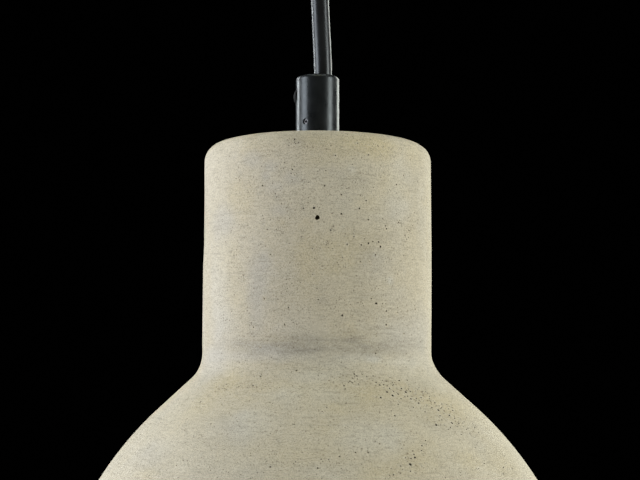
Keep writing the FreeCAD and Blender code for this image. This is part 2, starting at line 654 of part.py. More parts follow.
# upper end: inside the canopy, down through the tube and the grip, out of its mouth
top_route = [(0.0, 0, CUP_BASE.value + 8.5), (-0.3, 0, CUP_BASE.value - 8.5), (lean_x(ONE + 5.0), 0, ONE + 5.0), (lean_x(SIDE), 0, SIDE)]
upper_end = tube(top_route, CR, "canopy_cord_end")
socket_one = Part.makeSphere(5.0, V(0, 0, SIDE))
feature("canopy_cord_end", upper_end.cut(socket_one))

# a short length that flexes sideways
ball_one = Part.makeSphere(4.7, V(0, 0, SIDE))
short = plain_tube(SIDE + 6.0, FRONT)
lower_half = Part.makeBox(40, 40, 200, V(-20, -20, SIDE - 200))
short = short.common(ball_one.fuse(lower_half))
socket_two = Part.makeSphere(3.6, V(lean_x(FRONT), 0, FRONT))
feature("cord_upper", short.cut(socket_two))

# a length that flexes to the front and back
ball_two = Part.makeSphere(CR, V(lean_x(FRONT), 0, FRONT))
mid = plain_tube(FRONT, TWIST - 1.0).fuse(ball_two)
above = Part.makeBox(40, 40, 200, V(-20, -20, TWIST))
feature("cord_middle", mid.common(above).removeSplitter())

# the lower end: in at the lower grip's mouth, past its clamp screw, down the
# threaded tube and into the lampholder's cap
low_route = [(lean_x(TWIST + 4), 0, TWIST + 4), (lean_x(TWO - 5.0), 0, TWO - 5.0), (0.3, 0, SHADE_TOP.value + 9.5),
             (0.0, 0, SHADE_TOP.value - 9.0), (0.0, 0.05, CAP_TOP.value - 10.6)]
low = tube(low_route, CR, "cord_lower")
below = Part.makeBox(40, 40, 200, V(-20, -20, TWIST - 0.3 - 200))
feature("cord_lower", low.common(below))

# cores from the cord's upper end to the terminals, with slack folded in the canopy
CORE = float(sheet.get("core_rad"))
z_end = CUP_BASE.value + 8.5
py = -float(sheet.get("pole_long")) / 2 + 2.5
pz = -float(sheet.get("pole_axis"))
px = float(sheet.get("pole_pitch"))
feature("live_lead", tube([(-1.3, -0.6, z_end + 0.6), (-1.7, -2.0, z_end + 2.8), (-4.2, -9.5, z_end + 4.2), (-8.2, -20, z_end + 3.5), (-11.2, -27, z_end + 3.1),
                           (-12.8, -32, z_end + 3.6), (-14.0, -36.0, z_end + 6.6), (-14.0, -36.0, z_end + 11.0), (-13.0, -31.5, pz + 1.4),
                           (-11.2, -23.0, pz + 0.6), (-px, -15.0, pz + 0.1), (-px, py, pz)], CORE, "live_lead"))
feature("neutral_lead", tube([(1.3, -0.6, z_end + 0.6), (1.7, -2.0, z_end + 2.8), (4.4, -9.0, z_end + 4.3), (9.0, -19.0, z_end + 3.7), (12.6, -25.5, z_end + 3.2),
                              (14.8, -30.5, z_end + 3.8), (16.2, -34.5, z_end + 6.9), (16.2, -34.5, z_end + 11.2), (15.0, -30.0, pz + 1.3),
                              (12.4, -22.0, pz + 0.7), (px, -15.0, pz + 0.2), (px, py, pz)], CORE, "neutral_lead"))
tag_z = CUP_BASE.value + float(sheet.get("cup_wall")) + 0.8 + CORE
feature("earth_lead", tube([(0, py, pz), (0.2, -15.0, pz + 0.1), (1.2, -24.5, pz - 0.3), (2.2, -32.0, pz - 2.6), (2.6, -34.6, pz - 8.2),
                            (2.0, -32.4, tag_z + 3.4), (0.8, -25.5, tag_z + 0.6), (0.1, -18.5, tag_z + 0.12), (0.0, -11.6, tag_z + 0.1)],
                           CORE, "earth_lead"))

# cores from the cord's lower end to the lampholder's terminals
HC = 0.95
zs, zt = CAP_TOP.value - 10.6, BLOCK_TOP.value + 2.3
for s, nm in ((1, "holder_live_wire"), (-1, "holder_neutral_wire")):
    feature(nm, tube([(1.35 * s, 0, zs - 0.15), (1.45 * s, 0, zs - 2.6), (3.0 * s, 0, zt + 0.3), (6.2 * s, 0.02, zt)], HC, nm))

# ---------------------------------------------------------------- check and write
doc.recompute()
for obj in doc.Objects:
    bad = [s for s in obj.State if s in ("Invalid", "Error")]
    if bad:
        raise RuntimeError("%s (%s) is %s" % (obj.Name, obj.Label, bad))
os.makedirs("parts", exist_ok=True)
seen = set()
for obj in NODES:
    s = obj.Shape
    if s.isNull() or not s.isValid() or not s.Solids:
        raise RuntimeError("%s has no valid solid" % obj.Label)
    if obj.Label in seen:
        raise RuntimeError("two pieces are named " + obj.Label)
    seen.add(obj.Label)
    s.exportStep("parts/%s.step" % obj.Label)
    b = s.BoundBox
    print("%-24s solids %d  volume %9.1f  x %7.2f %7.2f  y %7.2f %7.2f  z %8.2f %8.2f"
          % (obj.Label, len(s.Solids), s.Volume, b.XMin, b.XMax, b.YMin, b.YMax, b.ZMin, b.ZMax))
print(len(seen), "pieces, rim at", round(RIM.value, 3), "mouth", round(MOUTH.value, 3))
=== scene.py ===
import json
import math
import random

import bmesh
import bpy
import numpy as np
from mathutils import Matrix, Vector, noise


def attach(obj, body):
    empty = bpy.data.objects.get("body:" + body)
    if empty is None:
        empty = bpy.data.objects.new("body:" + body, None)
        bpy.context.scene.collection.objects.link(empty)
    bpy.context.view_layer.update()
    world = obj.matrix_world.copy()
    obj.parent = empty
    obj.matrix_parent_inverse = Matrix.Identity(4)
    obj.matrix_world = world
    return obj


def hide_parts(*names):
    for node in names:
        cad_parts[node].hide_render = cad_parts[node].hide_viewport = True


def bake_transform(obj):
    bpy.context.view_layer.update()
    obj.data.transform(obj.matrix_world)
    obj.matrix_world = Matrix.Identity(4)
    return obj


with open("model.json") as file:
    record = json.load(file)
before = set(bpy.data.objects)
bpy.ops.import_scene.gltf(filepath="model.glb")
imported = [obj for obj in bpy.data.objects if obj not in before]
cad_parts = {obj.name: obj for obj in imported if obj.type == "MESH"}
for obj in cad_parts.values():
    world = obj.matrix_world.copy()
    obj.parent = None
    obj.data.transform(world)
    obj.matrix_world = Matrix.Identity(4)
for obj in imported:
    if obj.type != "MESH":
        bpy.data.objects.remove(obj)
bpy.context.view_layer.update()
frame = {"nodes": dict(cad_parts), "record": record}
NODES = frame["nodes"]
MM = 0.001
scene = bpy.context.scene
scene.view_settings.view_transform = "Standard"
scene.view_settings.look = "None"
scene.view_settings.exposure = 0.0
scene.view_settings.gamma = 1.0


# ------------------------------------------------------------------ camera
def make_camera():
    data = bpy.data.cameras.new("camera")
    data.sensor_width = 36.0
    data.lens = 77.709
    data.clip_start = 0.02
    data.clip_end = 60.0
    data.dof.use_dof = False
    cam = bpy.data.objects.new("camera", data)
    scene.collection.objects.link(cam)
    cam.location = (0.000944, -0.48119, -0.23256)
    cam.rotation_euler = (math.pi / 2 + 0.0903, 0.0, 0.0)
    cam.rotation_euler.rotate_axis("Z", 0.0012)
    scene.camera = cam


make_camera()


# ------------------------------------------------------------------ mesh helpers
def link(obj):
    scene.collection.objects.link(obj)
    return obj


def mesh_object(name, verts, faces, sharp=35.0, slots=None):
    me = bpy.data.meshes.new(name)
    me.from_pydata([tuple(v) for v in verts], [], [tuple(f) for f in faces])
    me.validate(verbose=False)
    bm = bmesh.new()
    bm.from_mesh(me)
    loose = [v for v in bm.verts if not v.link_faces]
    if loose:
        bmesh.ops.delete(bm, geom=loose, context="VERTS")
    bmesh.ops.recalc_face_normals(bm, faces=bm.faces)
    bm.to_mesh(me)
    bm.free()
    me.polygons.foreach_set("use_smooth", [True] * len(me.polygons))
    me.set_sharp_from_angle(angle=math.radians(sharp))
    me.update()
    return link(bpy.data.objects.new(name, me))


def spline_points(points_mm, resolution=24):
    """Points along the NURBS spline that has these control points, in metres."""
    cu = bpy.data.curves.new("route", "CURVE")
    cu.dimensions = "3D"
    sp = cu.splines.new("NURBS")
    sp.points.add(len(points_mm) - 1)
    for p, c in zip(sp.points, points_mm):
        p.co = (c[0] * MM, c[1] * MM, c[2] * MM, 1.0)
    sp.order_u = 3
    sp.use_endpoint_u = True
    cu.resolution_u = resolution
    ob = link(bpy.data.objects.new("route", cu))
    bpy.context.view_layer.update()
    dg = bpy.context.evaluated_depsgraph_get()
    me = bpy.data.meshes.new_from_object(ob.evaluated_get(dg))
    pts = [v.co.copy() for v in me.vertices]
    if (pts[0] - Vector(points_mm[0]) * MM).length > (pts[-1] - Vector(points_mm[0]) * MM).length:
        pts.reverse()
    bpy.data.meshes.remove(me)
    bpy.data.objects.remove(ob)
    bpy.data.curves.remove(cu)
    out = [pts[0]]
    for p in pts[1:]:
        if (p - out[-1]).length > 1e-6:
            out.append(p)
    return out


def frames_along(pts):
    """A tangent and two side vectors at each point, turning as little as possible."""
    n = len(pts)
    tangents = []
    for i in range(n):
        a, b = pts[max(i - 1, 0)], pts[min(i + 1, n - 1)]
        tangents.append((b - a).normalized())
    ref = Vector((0, 1, 0)) if abs(tangents[0].y) < 0.9 else Vector((1, 0, 0))
    u = (ref - tangents[0] * ref.dot(tangents[0])).normalized()
    out = []
    for t in tangents:
        u = (u - t * u.dot(t)).normalized()
        out.append((t, u, t.cross(u)))
    return out


def sweep(pts, radius, sides, ends=("flat", "flat"), twist=0.0, wobble=0.0, seed=1):
    """A closed tube along pts. An end is flat, round, or a recess given as
    (inner radius, depth)."""
    rnd = random.Random(seed)
    fr = frames_along(pts)
    verts, faces = [], []
    run = 0.0
    phase = [rnd.uniform(0, 6.28) for _ in range(4)]

    def ring(p, f, r, s):
        start = len(verts)
        for k in range(sides):
            a = 2 * math.pi * k / sides + twist * s
            rr = r
            if wobble:
                rr += wobble * (math.sin(2 * a + s * 190 + phase[0]) + 0.6 * math.sin(3 * a - s * 310 + phase[1]))
            verts.append(p + (f[1] * math.cos(a) + f[2] * math.sin(a)) * rr)
        return start

    def bridge(a, b):
        for k in range(sides):
            faces.append((a + k, a + (k + 1) % sides, b + (k + 1) % sides, b + k))

    def close(first, p):
        c = len(verts)
        verts.append(p)
        for k in range(sides):
            faces.append((first + k, first + (k + 1) % sides, c))

    def end(i, sign, how, body):
        p, f = pts[i], fr[i]
        t = f[0] * sign
        s = 0.0 if sign < 0 else run
        if how == "flat":
            a = ring(p, f, radius * 0.985, s)
            bridge(a, body) if sign < 0 else bridge(body, a)
            close(a, p)
        elif how == "round":
            last = body
            for k in (1, 2, 3):
                ang = k * math.pi / 8
                a = ring(p + t * radius * 0.9 * math.sin(ang), f, radius * math.cos(ang), s)
                bridge(last, a)
                last = a
            close(last, p + t * radius * 0.9)
        else:
            inner, deep = how
            a = ring(p + t * radius * 0.02, f, radius - 0.00012, s)
            b = ring(p, f, inner + 0.00010, s)
            c = ring(p - t * 0.00012, f, inner, s)
            e = ring(p - t * deep, f, inner * 0.97, s)
            bridge(body, a)
            bridge(a, b)
            bridge(b, c)
            bridge(c, e)
            close(e, p - t * deep)

    rings = []
    for i, p in enumerate(pts):
        if i:
            run += (p - pts[i - 1]).length
        rings.append(ring(p, fr[i], radius, run))
    for a, b in zip(rings, rings[1:]):
        bridge(a, b)
    end(0, -1, ends[0], rings[0])
    end(len(pts) - 1, 1, ends[1], rings[-1])
    return verts, faces


def even(pts, step):
    """The same line with a point about every step, so that rings are evenly spaced."""
    total = sum((b - a).length for a, b in zip(pts, pts[1:]))
    n = max(2, int(round(total / step)))
    out, at, i, left = [pts[0].copy()], 0.0, 0, total / n
    gap = total / n
    pos = pts[0].copy()
    while len(out) < n and i < len(pts) - 1:
        seg = (pts[i + 1] - pos).length
        if seg >= left:
            pos = pos + (pts[i + 1] - pos) * (left / seg)
            out.append(pos.copy())
            left = gap
        else:
            left -= seg
            i += 1
            pos = pts[i].copy()
    out.append(pts[-1].copy())
    return out


# ------------------------------------------------------------------ cord
def lean_x(z):
    """The taut stretch runs straight from one grip's mouth to the other's."""
    return 0.45 - 1.8 + 3.6 * (-52.7 - z) / 78.6


CORD_ROUTE = [
    (0, 0, -19.5), (-0.3, 0, -36.5), (lean_x(-47.7), 0, -47.7), (lean_x(-61), 0, -61),
    (lean_x(-105) - 0.24, 0, -105), (lean_x(-136.3) - 0.12, 0, -136.3), (0.3, 0, -146.5), (0, 0, -165), (0, 0.05, -183.6)]


def split_at(pts, z):
    for i in range(len(pts) - 1):
        if pts[i].z >= z >= pts[i + 1].z:
            t = (pts[i].z - z) / max(pts[i].z - pts[i + 1].z, 1e-9)
            p = pts[i].lerp(pts[i + 1], t)
            return pts[:i + 1] + [p], [p.copy()] + pts[i + 1:]
    raise ValueError("no crossing")


def make_cord():
    line = spline_points(CORD_ROUTE, 48)
    top, rest = split_at(line, -0.070)
    middle, low = split_at(rest, -0.109)
    out = []
    for name, pts, ends, nodes in (
            ("cord_top_length", top, ((0.00255, 0.0016), "flat"), ("canopy_cord_end", "cord_upper")),
            ("cord_middle_length", middle, ("flat", "flat"), ("cord_middle",)),
            ("cord_lower_length", low, ("flat", (0.00255, 0.0010)), ("cord_lower",))):
        path = even(pts, 0.0012)
        v, f = sweep(path, 0.0032, 96, ends)
        ob = mesh_object(name, v, f, 50)
        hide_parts(*nodes)
        out.append((ob, path))
    for (ob, path), bodies, start, end in zip(
            out, (("canopy", "cord_top"), ("cord_top", "cord_mid"), ("cord_mid", "shade")),
            (-0.053, -0.072, -0.110), (-0.069, -0.094, -0.130)):
        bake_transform(ob)
    return [ob for ob, _ in out]


CORDS = make_cord()


# ------------------------------------------------------------------ the casting's section
def arc(cx, cz, r, a0, a1, n):
    return [(cx + r * math.cos(math.radians(a0 + (a1 - a0) * k / n)), cz + r * math.sin(math.radians(a0 + (a1 - a0) * k / n)))
            for k in range(1, n + 1)]


def straight(a, b, n):
    return [(a[0] + (b[0] - a[0]) * k / n, a[1] + (b[1] - a[1]) * k / n) for k in range(1, n + 1)]


def shade_section():
    """The closed section of the casting in mm, from the bore's lower edge up,
    over the outside, round the rim and back up the inside. Also says which
    points are on the outer and the inner skin."""
    R, Rt, f = 39.8, 39.55, 6.0
    top, crease, plate = -156.0, -228.2, -166.0
    w, rc, ang, A, Fl, k = 9.5, 12.0, 47.7, 115.4, 14.5, 2.5
    s, c = math.sin(math.radians(ang)), math.cos(math.radians(ang))
    rim = crease - (rc * s + Fl * c + A * s + 3.0)
    o1 = (R + rc * (1 - c), crease - rc * s)
    o2 = (o1[0] + Fl * s, o1[1] - Fl * c)
    o3 = (o2[0] + A * (1 - c), o2[1] - A * s)
    ri = rc + w
    i1 = (R + rc - ri * c, crease - ri * s)
    i2 = (i1[0] + Fl * s, i1[1] - Fl * c)
    i3 = (o3[0] - w, o3[1])
    bore = 5.25
    pts = [(bore, plate)]
    pts += straight(pts[-1], (bore, top), 4)
    pts += straight(pts[-1], (Rt - f, top), 14)
    first = len(pts) - 1
    pts += arc(Rt - f, top - f, f, 90, 0, 9)
    pts += straight(pts[-1], (R, crease), 62)
    pts += arc(R + rc, crease, rc, 180, 180 + ang, 10)
    pts += straight(pts[-1], o2, 14)
    # flank arc: centre level with o3
    pts += arc(o3[0] - A, o3[1], A, ang, 0, 86)
    pts += straight(pts[-1], (o3[0], rim + k), 1)
    last = len(pts) - 1
    pts += arc(o3[0] - k, rim + k, k, 0, -90, 6)
    pts += straight(pts[-1], (o3[0] - w + k, rim), 3)
    pts += arc(o3[0] - w + k, rim + k, k, -90, -180, 6)
    inner_first = len(pts) - 1
    pts += straight(pts[-1], i3, 1)
    pts += arc(o3[0] - A, o3[1], A - w, 0, ang, 28)
    pts += straight(pts[-1], i1, 4)
    pts += arc(R + rc, crease, ri, 180 + ang, 180, 6)
    pts += straight(pts[-1], (R - w, plate - 4), 15)
    inner_last = len(pts) - 1
    pts += arc(R - w - 4, plate - 4, 4, 0, 90, 4)
    pts += straight(pts[-1], (bore, plate), 6)
    pts.pop()
    return pts, (first, last), (inner_first, inner_last)


SECTION, OUTER, INNER = shade_section()

# fine scratches on the outer skin: two ends as (degrees round from the front,
# level in mm), width in mm and how dark
SCRATCHES = [
    ((-48.9, -160.3), (-44.7, -163.3), 0.16, 0.7),
    ((30.0, -175.4), (33.8, -176.9), 0.11, 0.5),
    ((-54.4, -255.9), (-51.1, -254.7), 0.12, 0.6),
    ((-54.4, -255.9), (-53.2, -256.9), 0.12, 0.5),
    ((-18.6, -186.0), (-15.8, -186.1), 0.12, 0.45),
    ((-13.7, -181.3), (-8.2, -181.6), 0.1, 0.35),
    ((57.1, -194.8), (63.5, -195.3), 0.14, 0.45),
    ((1.6, -195.6), (3.2, -195.7), 0.22, 0.4),
    ((18.6, -211.3), (21.9, -209.7), 0.16, 0.35),
    ((31.0, -225.1), (25.2, -226.0), 0.22, 0.35),
    ((7.9, -197.8), (10.7, -198.0), 0.15, 0.4),
    ((5.1, -197.6), (6.5, -197.1), 0.15, 0.4),
    ((26.9, -261.8), (26.6, -265.4), 0.1, 0.35),
    ((0.4, -192.2), (16.5, -192.9), 0.1, 0.25),
]


def on_skin_at(deg, level):
    """The point of the outer skin at this turn from the front and this level, in metres."""
    for a, b in zip(SECTION[OUTER[0]:OUTER[1]], SECTION[OUTER[0] + 1:OUTER[1] + 1]):
        if a[1] >= level >= b[1] and a[1] > b[1]:
            r = a[0] + (b[0] - a[0]) * (a[1] - level) / (a[1] - b[1])
            t = math.radians(deg)
            return (r * math.sin(t) * MM, -r * math.cos(t) * MM, level * MM)
    raise ValueError("level off the skin")


def scratch_lines():
    return [(on_skin_at(*a), on_skin_at(*b), w * MM, k) for a, b, w, k in SCRATCHES]


# ------------------------------------------------------------------ node materials
class Mat:
    """A material tree with short ways to add the usual nodes."""

    def __init__(self, name):
        self.m = bpy.data.materials.new(name)
        self.m.use_nodes = True
        self.t = self.m.node_tree
        self.t.nodes.clear()
        self.out = self.add("ShaderNodeOutputMaterial")
        self.b = self.add("ShaderNodeBsdfPrincipled")
        self.t.links.new(self.b.outputs[0], self.out.inputs[0])
        self.co = self.add("ShaderNodeTexCoord").outputs["Object"]

    def add(self, kind, **props):
        n = self.t.nodes.new(kind)
        for k, v in props.items():
            setattr(n, k, v)
        return n

    def plug(self, socket, value):
        if isinstance(value, bpy.types.NodeSocket):
            self.t.links.new(value, socket)
        elif isinstance(value, (tuple, list)) and len(value) == 3 and len(socket.default_value) == 4:
            socket.default_value = (*value, 1.0)
        else:
            socket.default_value = value

    def scaled(self, sx, sy, sz, co=None):
        n = self.add("ShaderNodeMapping")
        self.plug(n.inputs["Vector"], co or self.co)
        n.inputs["Scale"].default_value = (sx, sy, sz)
        return n.outputs[0]

    def noise(self, scale, detail=3.0, rough=0.55, distortion=0.0, co=None, offset=0.0):
        n = self.add("ShaderNodeTexNoise")
        v = co or self.co
        if offset:
            mp = self.add("ShaderNodeMapping")
            self.plug(mp.inputs["Vector"], v)
            mp.inputs["Location"].default_value = (offset, -offset * 0.7, offset * 0.4)
            v = mp.outputs[0]
        self.plug(n.inputs["Vector"], v)
        n.inputs["Scale"].default_value = scale
        n.inputs["Detail"].default_value = detail
        n.inputs["Roughness"].default_value = rough
        n.inputs["Distortion"].default_value = distortion
        return n.outputs[0]

    def cells(self, scale, feature="F1", randomness=1.0, co=None):
        n = self.add("ShaderNodeTexVoronoi", feature=feature)
        self.plug(n.inputs["Vector"], co or self.co)
        n.inputs["Scale"].default_value = scale
        n.inputs["Randomness"].default_value = randomness
        return n.outputs["Distance"]

    def ramp(self, fac, low, high, a=0.0, b=1.0):
        """fac taken from low..high to a..b, smoothly."""
        n = self.add("ShaderNodeMapRange", interpolation_type="SMOOTHSTEP")
        self.plug(n.inputs["Value"], fac)
        for k, v in (("From Min", low), ("From Max", high), ("To Min", a), ("To Max", b)):
            n.inputs[k].default_value = v
        return n.outputs[0]

    def math(self, op, a, b=0.0, clamp=False):
        n = self.add("ShaderNodeMath", operation=op, use_clamp=clamp)
        self.plug(n.inputs[0], a)
        self.plug(n.inputs[1], b)
        return n.outputs[0]

    def mix(self, fac, a, b, mode="MIX"):
        n = self.add("ShaderNodeMix", data_type="RGBA", blend_type=mode)
        self.plug(n.inputs[0], fac)
        self.plug(n.inputs[6], a)
        self.plug(n.inputs[7], b)
        return n.outputs[2]

    def xyz(self, co=None):
        n = self.add("ShaderNodeSeparateXYZ")
        self.plug(n.inputs[0], co or self.co)
        return n.outputs

    def attribute(self, name):
        n = self.add("ShaderNodeAttribute", attribute_name=name)
        return n.outputs["Fac"]

    def stroke(self, co, start, end, width, depth):
        """How much of a thin scratch from start to end, in metres, is at each point."""
        along = Vector(end) - Vector(start)

        def vec(op, a, b=None):
            n = self.add("ShaderNodeVectorMath", operation=op)
            self.plug(n.inputs[0], a)
            if b is not None:
                if isinstance(b, bpy.types.NodeSocket):
                    self.plug(n.inputs[1], b)
                else:
                    n.inputs[1].default_value = b
            return n

        rel = vec("SUBTRACT", co, tuple(start)).outputs[0]
        t = self.math("MULTIPLY", vec("DOT_PRODUCT", rel, tuple(along)).outputs["Value"], 1.0 / along.length_squared, clamp=True)
        foot = vec("SCALE", tuple(along))
        self.plug(foot.inputs["Scale"], t)
        gap = vec("LENGTH", vec("SUBTRACT", rel, foot.outputs[0]).outputs[0]).outputs["Value"]
        return self.ramp(gap, width * 0.35, width, depth, 0.0)

    def bump(self, *layers):
        """Each layer is (height, distance in metres)."""
        last = None
        for height, distance in layers:
            n = self.add("ShaderNodeBump")
            n.inputs["Strength"].default_value = 1.0
            n.inputs["Distance"].default_value = distance
            self.plug(n.inputs["Height"], height)
            if last:
                self.plug(n.inputs["Normal"], last)
            last = n.outputs[0]
        self.plug(self.b.inputs["Normal"], last)

    def set(self, **values):
        for k, v in values.items():
            self.plug(self.b.inputs[k.replace("_", " ")], v)
        return self


def concrete():
    m = Mat("cast_concrete")
    x, y, z = m.xyz()
    warm, sand, grey, pale, dark = (0.545, 0.490, 0.360), (0.600, 0.550, 0.425), (0.420, 0.405, 0.350), (0.70, 0.665, 0.56), (0.27, 0.245, 0.190)
    broad = m.noise(11, 3, 0.55, 0.6)
    cloud = m.noise(34, 4, 0.6, 0.8, offset=0.3)
    patch = m.noise(110, 4, 0.62, 0.3, offset=0.9)
    mottle = m.noise(300, 3, 0.6, 0.2, offset=5.2)
    speck = m.noise(620, 3, 0.62, offset=1.7)
    grain = m.noise(1500, 2, 0.6, offset=2.3)
    sand_grain = m.noise(3400, 2, 0.7, offset=6.1)
    col = m.mix(m.ramp(broad, 0.34, 0.68), warm, sand)
    col = m.mix(m.ramp(cloud, 0.48, 0.74, 0, 0.34), col, grey)
    col = m.mix(m.ramp(patch, 0.54, 0.76, 0, 0.34), col, pale)
    col = m.mix(m.ramp(m.noise(70, 4, 0.6, 0.6, offset=7.7), 0.56, 0.74, 0, 0.42), col, (0.575, 0.490, 0.305))
    # stains left by the mould, laid on as soft patches, with painted light among the pale patches and painted shade in
    # the darker ones along the crease and low on the dome
    col = m.mix(m.attribute("ochre"), col, (0.560, 0.480, 0.285))
    col = m.mix(m.attribute("cool"), col, (0.470, 0.465, 0.445))
    # the pale patches are paler skin in places and painted light in others, lightening the skin below the crease at
    # the front and on the neck's two flanks
    col = m.mix(m.attribute("pale"), col, (0.640, 0.635, 0.580))
    # painted shade along the crease and low on the dome, with some grey stains on the neck, mottled by noise
    painted_shade_and_stain = m.attribute("painted_shade_and_stain")
    shade_mottle = m.ramp(m.noise(150, 4, 0.62, 0.3, co=m.scaled(0.35, 0.35, 2.2), offset=0.2), 0.34, 0.66, 0.25, 1.28)
    col = m.mix(m.math("MULTIPLY", painted_shade_and_stain, shade_mottle, clamp=True), col, (0.325, 0.303, 0.250))
    # fine level lines from trowelling
    lines = m.noise(420, 3, 0.62, 0.15, co=m.scaled(0.11, 0.11, 2.6), offset=8.3)
    where = m.ramp(m.noise(45, 3, 0.55, offset=9.4), 0.42, 0.66)
    col = m.mix(m.math("MULTIPLY", m.ramp(lines, 0.57, 0.74, 0, 0.50), where), col, dark)
    col = m.mix(m.math("MULTIPLY", m.ramp(lines, 0.42, 0.28, 0, 0.25), where), col, pale)
    # sand: darker and paler grains of several sizes, drawn out level by the mould
    drawn = m.noise(1900, 2, 0.55, 0.1, co=m.scaled(0.16, 0.16, 1.0), offset=4.4)
    col = m.mix(m.ramp(mottle, 0.54, 0.76, 0, 0.16), col, grey)
    col = m.mix(m.ramp(speck, 0.58, 0.76, 0, 0.16), col, dark)
    col = m.mix(m.ramp(drawn, 0.52, 0.72, 0, 0.42), col, dark)
    col = m.mix(m.ramp(drawn, 0.46, 0.26, 0, 0.26), col, pale)
    col = m.mix(m.ramp(grain, 0.50, 0.72, 0, 0.26), col, dark)
    col = m.mix(m.ramp(grain, 0.48, 0.28, 0, 0.20), col, pale)
    col = m.mix(m.ramp(sand_grain, 0.52, 0.65, 0, 0.90), col, dark)
    col = m.mix(m.ramp(sand_grain, 0.48, 0.31, 0, 0.55), col, pale)
    dots = m.cells(900)
    some = m.ramp(m.noise(380, 2, 0.5, offset=3.9), 0.52, 0.58)
    col = m.mix(m.math("MULTIPLY", m.ramp(dots, 0.11, 0.24, 0.92, 0.0), some), col, (0.14, 0.120, 0.085))
    # freckles of dark dust where small pits gather
    freckle = m.attribute("freckle")
    col = m.mix(m.math("MULTIPLY", freckle, 0.30), col, (0.460, 0.385, 0.235))
    blots = m.math("MULTIPLY", m.ramp(m.cells(760, co=m.scaled(1.0, 1.0, 1.15)), 0.18, 0.36, 1.0, 0.0), m.ramp(m.noise(260, 2, 0.5, offset=6.6), 0.42, 0.54))
    col = m.mix(m.math("MULTIPLY", blots, freckle, clamp=True), col, (0.150, 0.120, 0.070))
    # fine scratches
    wander = m.add("ShaderNodeTexNoise")
    m.plug(wander.inputs["Vector"], m.co)
    wander.inputs["Scale"].default_value = 450
    shift = m.add("ShaderNodeVectorMath", operation="MULTIPLY_ADD")
    m.plug(shift.inputs[0], wander.outputs["Color"])
    shift.inputs[1].default_value = (0.0006, 0.0006, 0.0006)
    m.plug(shift.inputs[2], m.co)
    for start, end, width, depth in scratch_lines():
        col = m.mix(m.stroke(shift.outputs[0], start, end, width, depth), col, (0.19, 0.165, 0.120))
    # pits hold dust and read darker than the skin around them
    # painted shade: pit walls and floors are coloured darker the deeper they lie, for the shade inside each pit
    pit = m.attribute("pit")
    col = m.mix(m.math("MULTIPLY", pit, 0.96), col, (0.036, 0.028, 0.016))
    rough = m.ramp(cloud, 0.3, 0.7, 0.80, 0.95)
    m.set(Base_Color=col, Roughness=rough)
    m.b.inputs["Specular IOR Level"].default_value = 0.22
    m.bump((speck, 0.00004), (grain, 0.00004), (sand_grain, 0.00003))
    return m.m


def black_plastic():
    m = Mat("satin_black_nylon")
    fine = m.noise(2600, 2, 0.5)
    broad = m.noise(160, 3, 0.5, offset=0.4)
    smudge = m.noise(300, 4, 0.65, 0.5, offset=1.1)
    m.set(Base_Color=m.mix(m.ramp(broad, 0.35, 0.7), (0.0088, 0.0100, 0.0112), (0.0135, 0.0150, 0.0165)),
          Roughness=m.ramp(smudge, 0.3, 0.75, 0.27, 0.37))
    m.b.inputs["IOR"].default_value = 1.56
    m.b.inputs["Specular Tint"].default_value = (0.86, 0.965, 1.0, 1.0)
    m.bump((fine, 0.000008), (broad, 0.00004))
    return m.m


def cord_sheath():
    m = Mat("black_pvc_sheath")
    along = m.noise(700, 3, 0.55, co=m.scaled(1, 1, 0.08))
    dust = m.noise(1500, 3, 0.6, offset=0.7)
    soft = m.noise(120, 2, 0.5, offset=1.9)
    m.set(Base_Color=m.mix(m.ramp(dust, 0.5, 0.8, 0, 0.6), (0.0085, 0.0088, 0.0098), (0.020, 0.020, 0.022)),
          Roughness=m.ramp(soft, 0.3, 0.7, 0.31, 0.37))
    m.b.inputs["IOR"].default_value = 1.58
    m.b.inputs["Specular Tint"].default_value = (0.88, 0.965, 1.0, 1.0)
    m.bump((along, 0.0000010), (soft, 0.00001))
    return m.m


def dull_nylon():
    m = Mat("dull_black_nylon")
    fine = m.noise(2400, 2, 0.5)
    broad = m.noise(300, 3, 0.6, offset=0.9)
    m.set(Base_Color=m.mix(m.ramp(broad, 0.35, 0.7), (0.006, 0.0065, 0.007), (0.010, 0.0105, 0.011)),
          Roughness=m.ramp(broad, 0.3, 0.75, 0.62, 0.74))
    m.b.inputs["Specular IOR Level"].default_value = 0.12
    m.bump((fine, 0.000010))
    return m.m


def black_enamel():
    m = Mat("black_powder_coat")
    peel = m.noise(1300, 2, 0.5)
    broad = m.noise(60, 3, 0.5, offset=0.8)
    grit = m.cells(3200)
    m.set(Base_Color=m.mix(m.ramp(broad, 0.3, 0.7), (0.012, 0.012, 0.013), (0.018, 0.018, 0.019)),
          Roughness=m.ramp(broad, 0.3, 0.7, 0.38, 0.46))
    m.bump((peel, 0.00009), (grit, 0.00001))
    return m.m


def metal(name, light, dark, rough, brushed=(1, 1, 1), scale=900, bump=0.00002, tint=None):
    m = Mat(name)
    lines = m.noise(scale, 4, 0.6, co=m.scaled(*brushed))
    broad = m.noise(180, 3, 0.55, offset=0.6)
    col = m.mix(m.ramp(lines, 0.3, 0.72), light, dark)
    if tint:
        col = m.mix(m.ramp(broad, 0.45, 0.7, 0, 0.55), col, tint)
    m.set(Base_Color=col, Roughness=m.ramp(broad, 0.3, 0.7, rough - 0.05, rough + 0.07))
    m.b.inputs["Metallic"].default_value = 1.0
    m.bump((lines, bump))
    return m.m


def holder_plastic():
    m = Mat("black_thermoset")
    flow = m.noise(240, 4, 0.6, 0.8)
    fine = m.noise(2200, 2, 0.5, offset=0.9)
    m.set(Base_Color=m.mix(m.ramp(flow, 0.4, 0.7), (0.014, 0.0135, 0.013), (0.024, 0.023, 0.022)),
          Roughness=m.ramp(flow, 0.3, 0.75, 0.20, 0.32))
    m.b.inputs["Coat Weight"].default_value = 0.25
    m.b.inputs["Coat Roughness"].default_value = 0.12
    m.bump((fine, 0.000010), (flow, 0.00004))
    return m.m


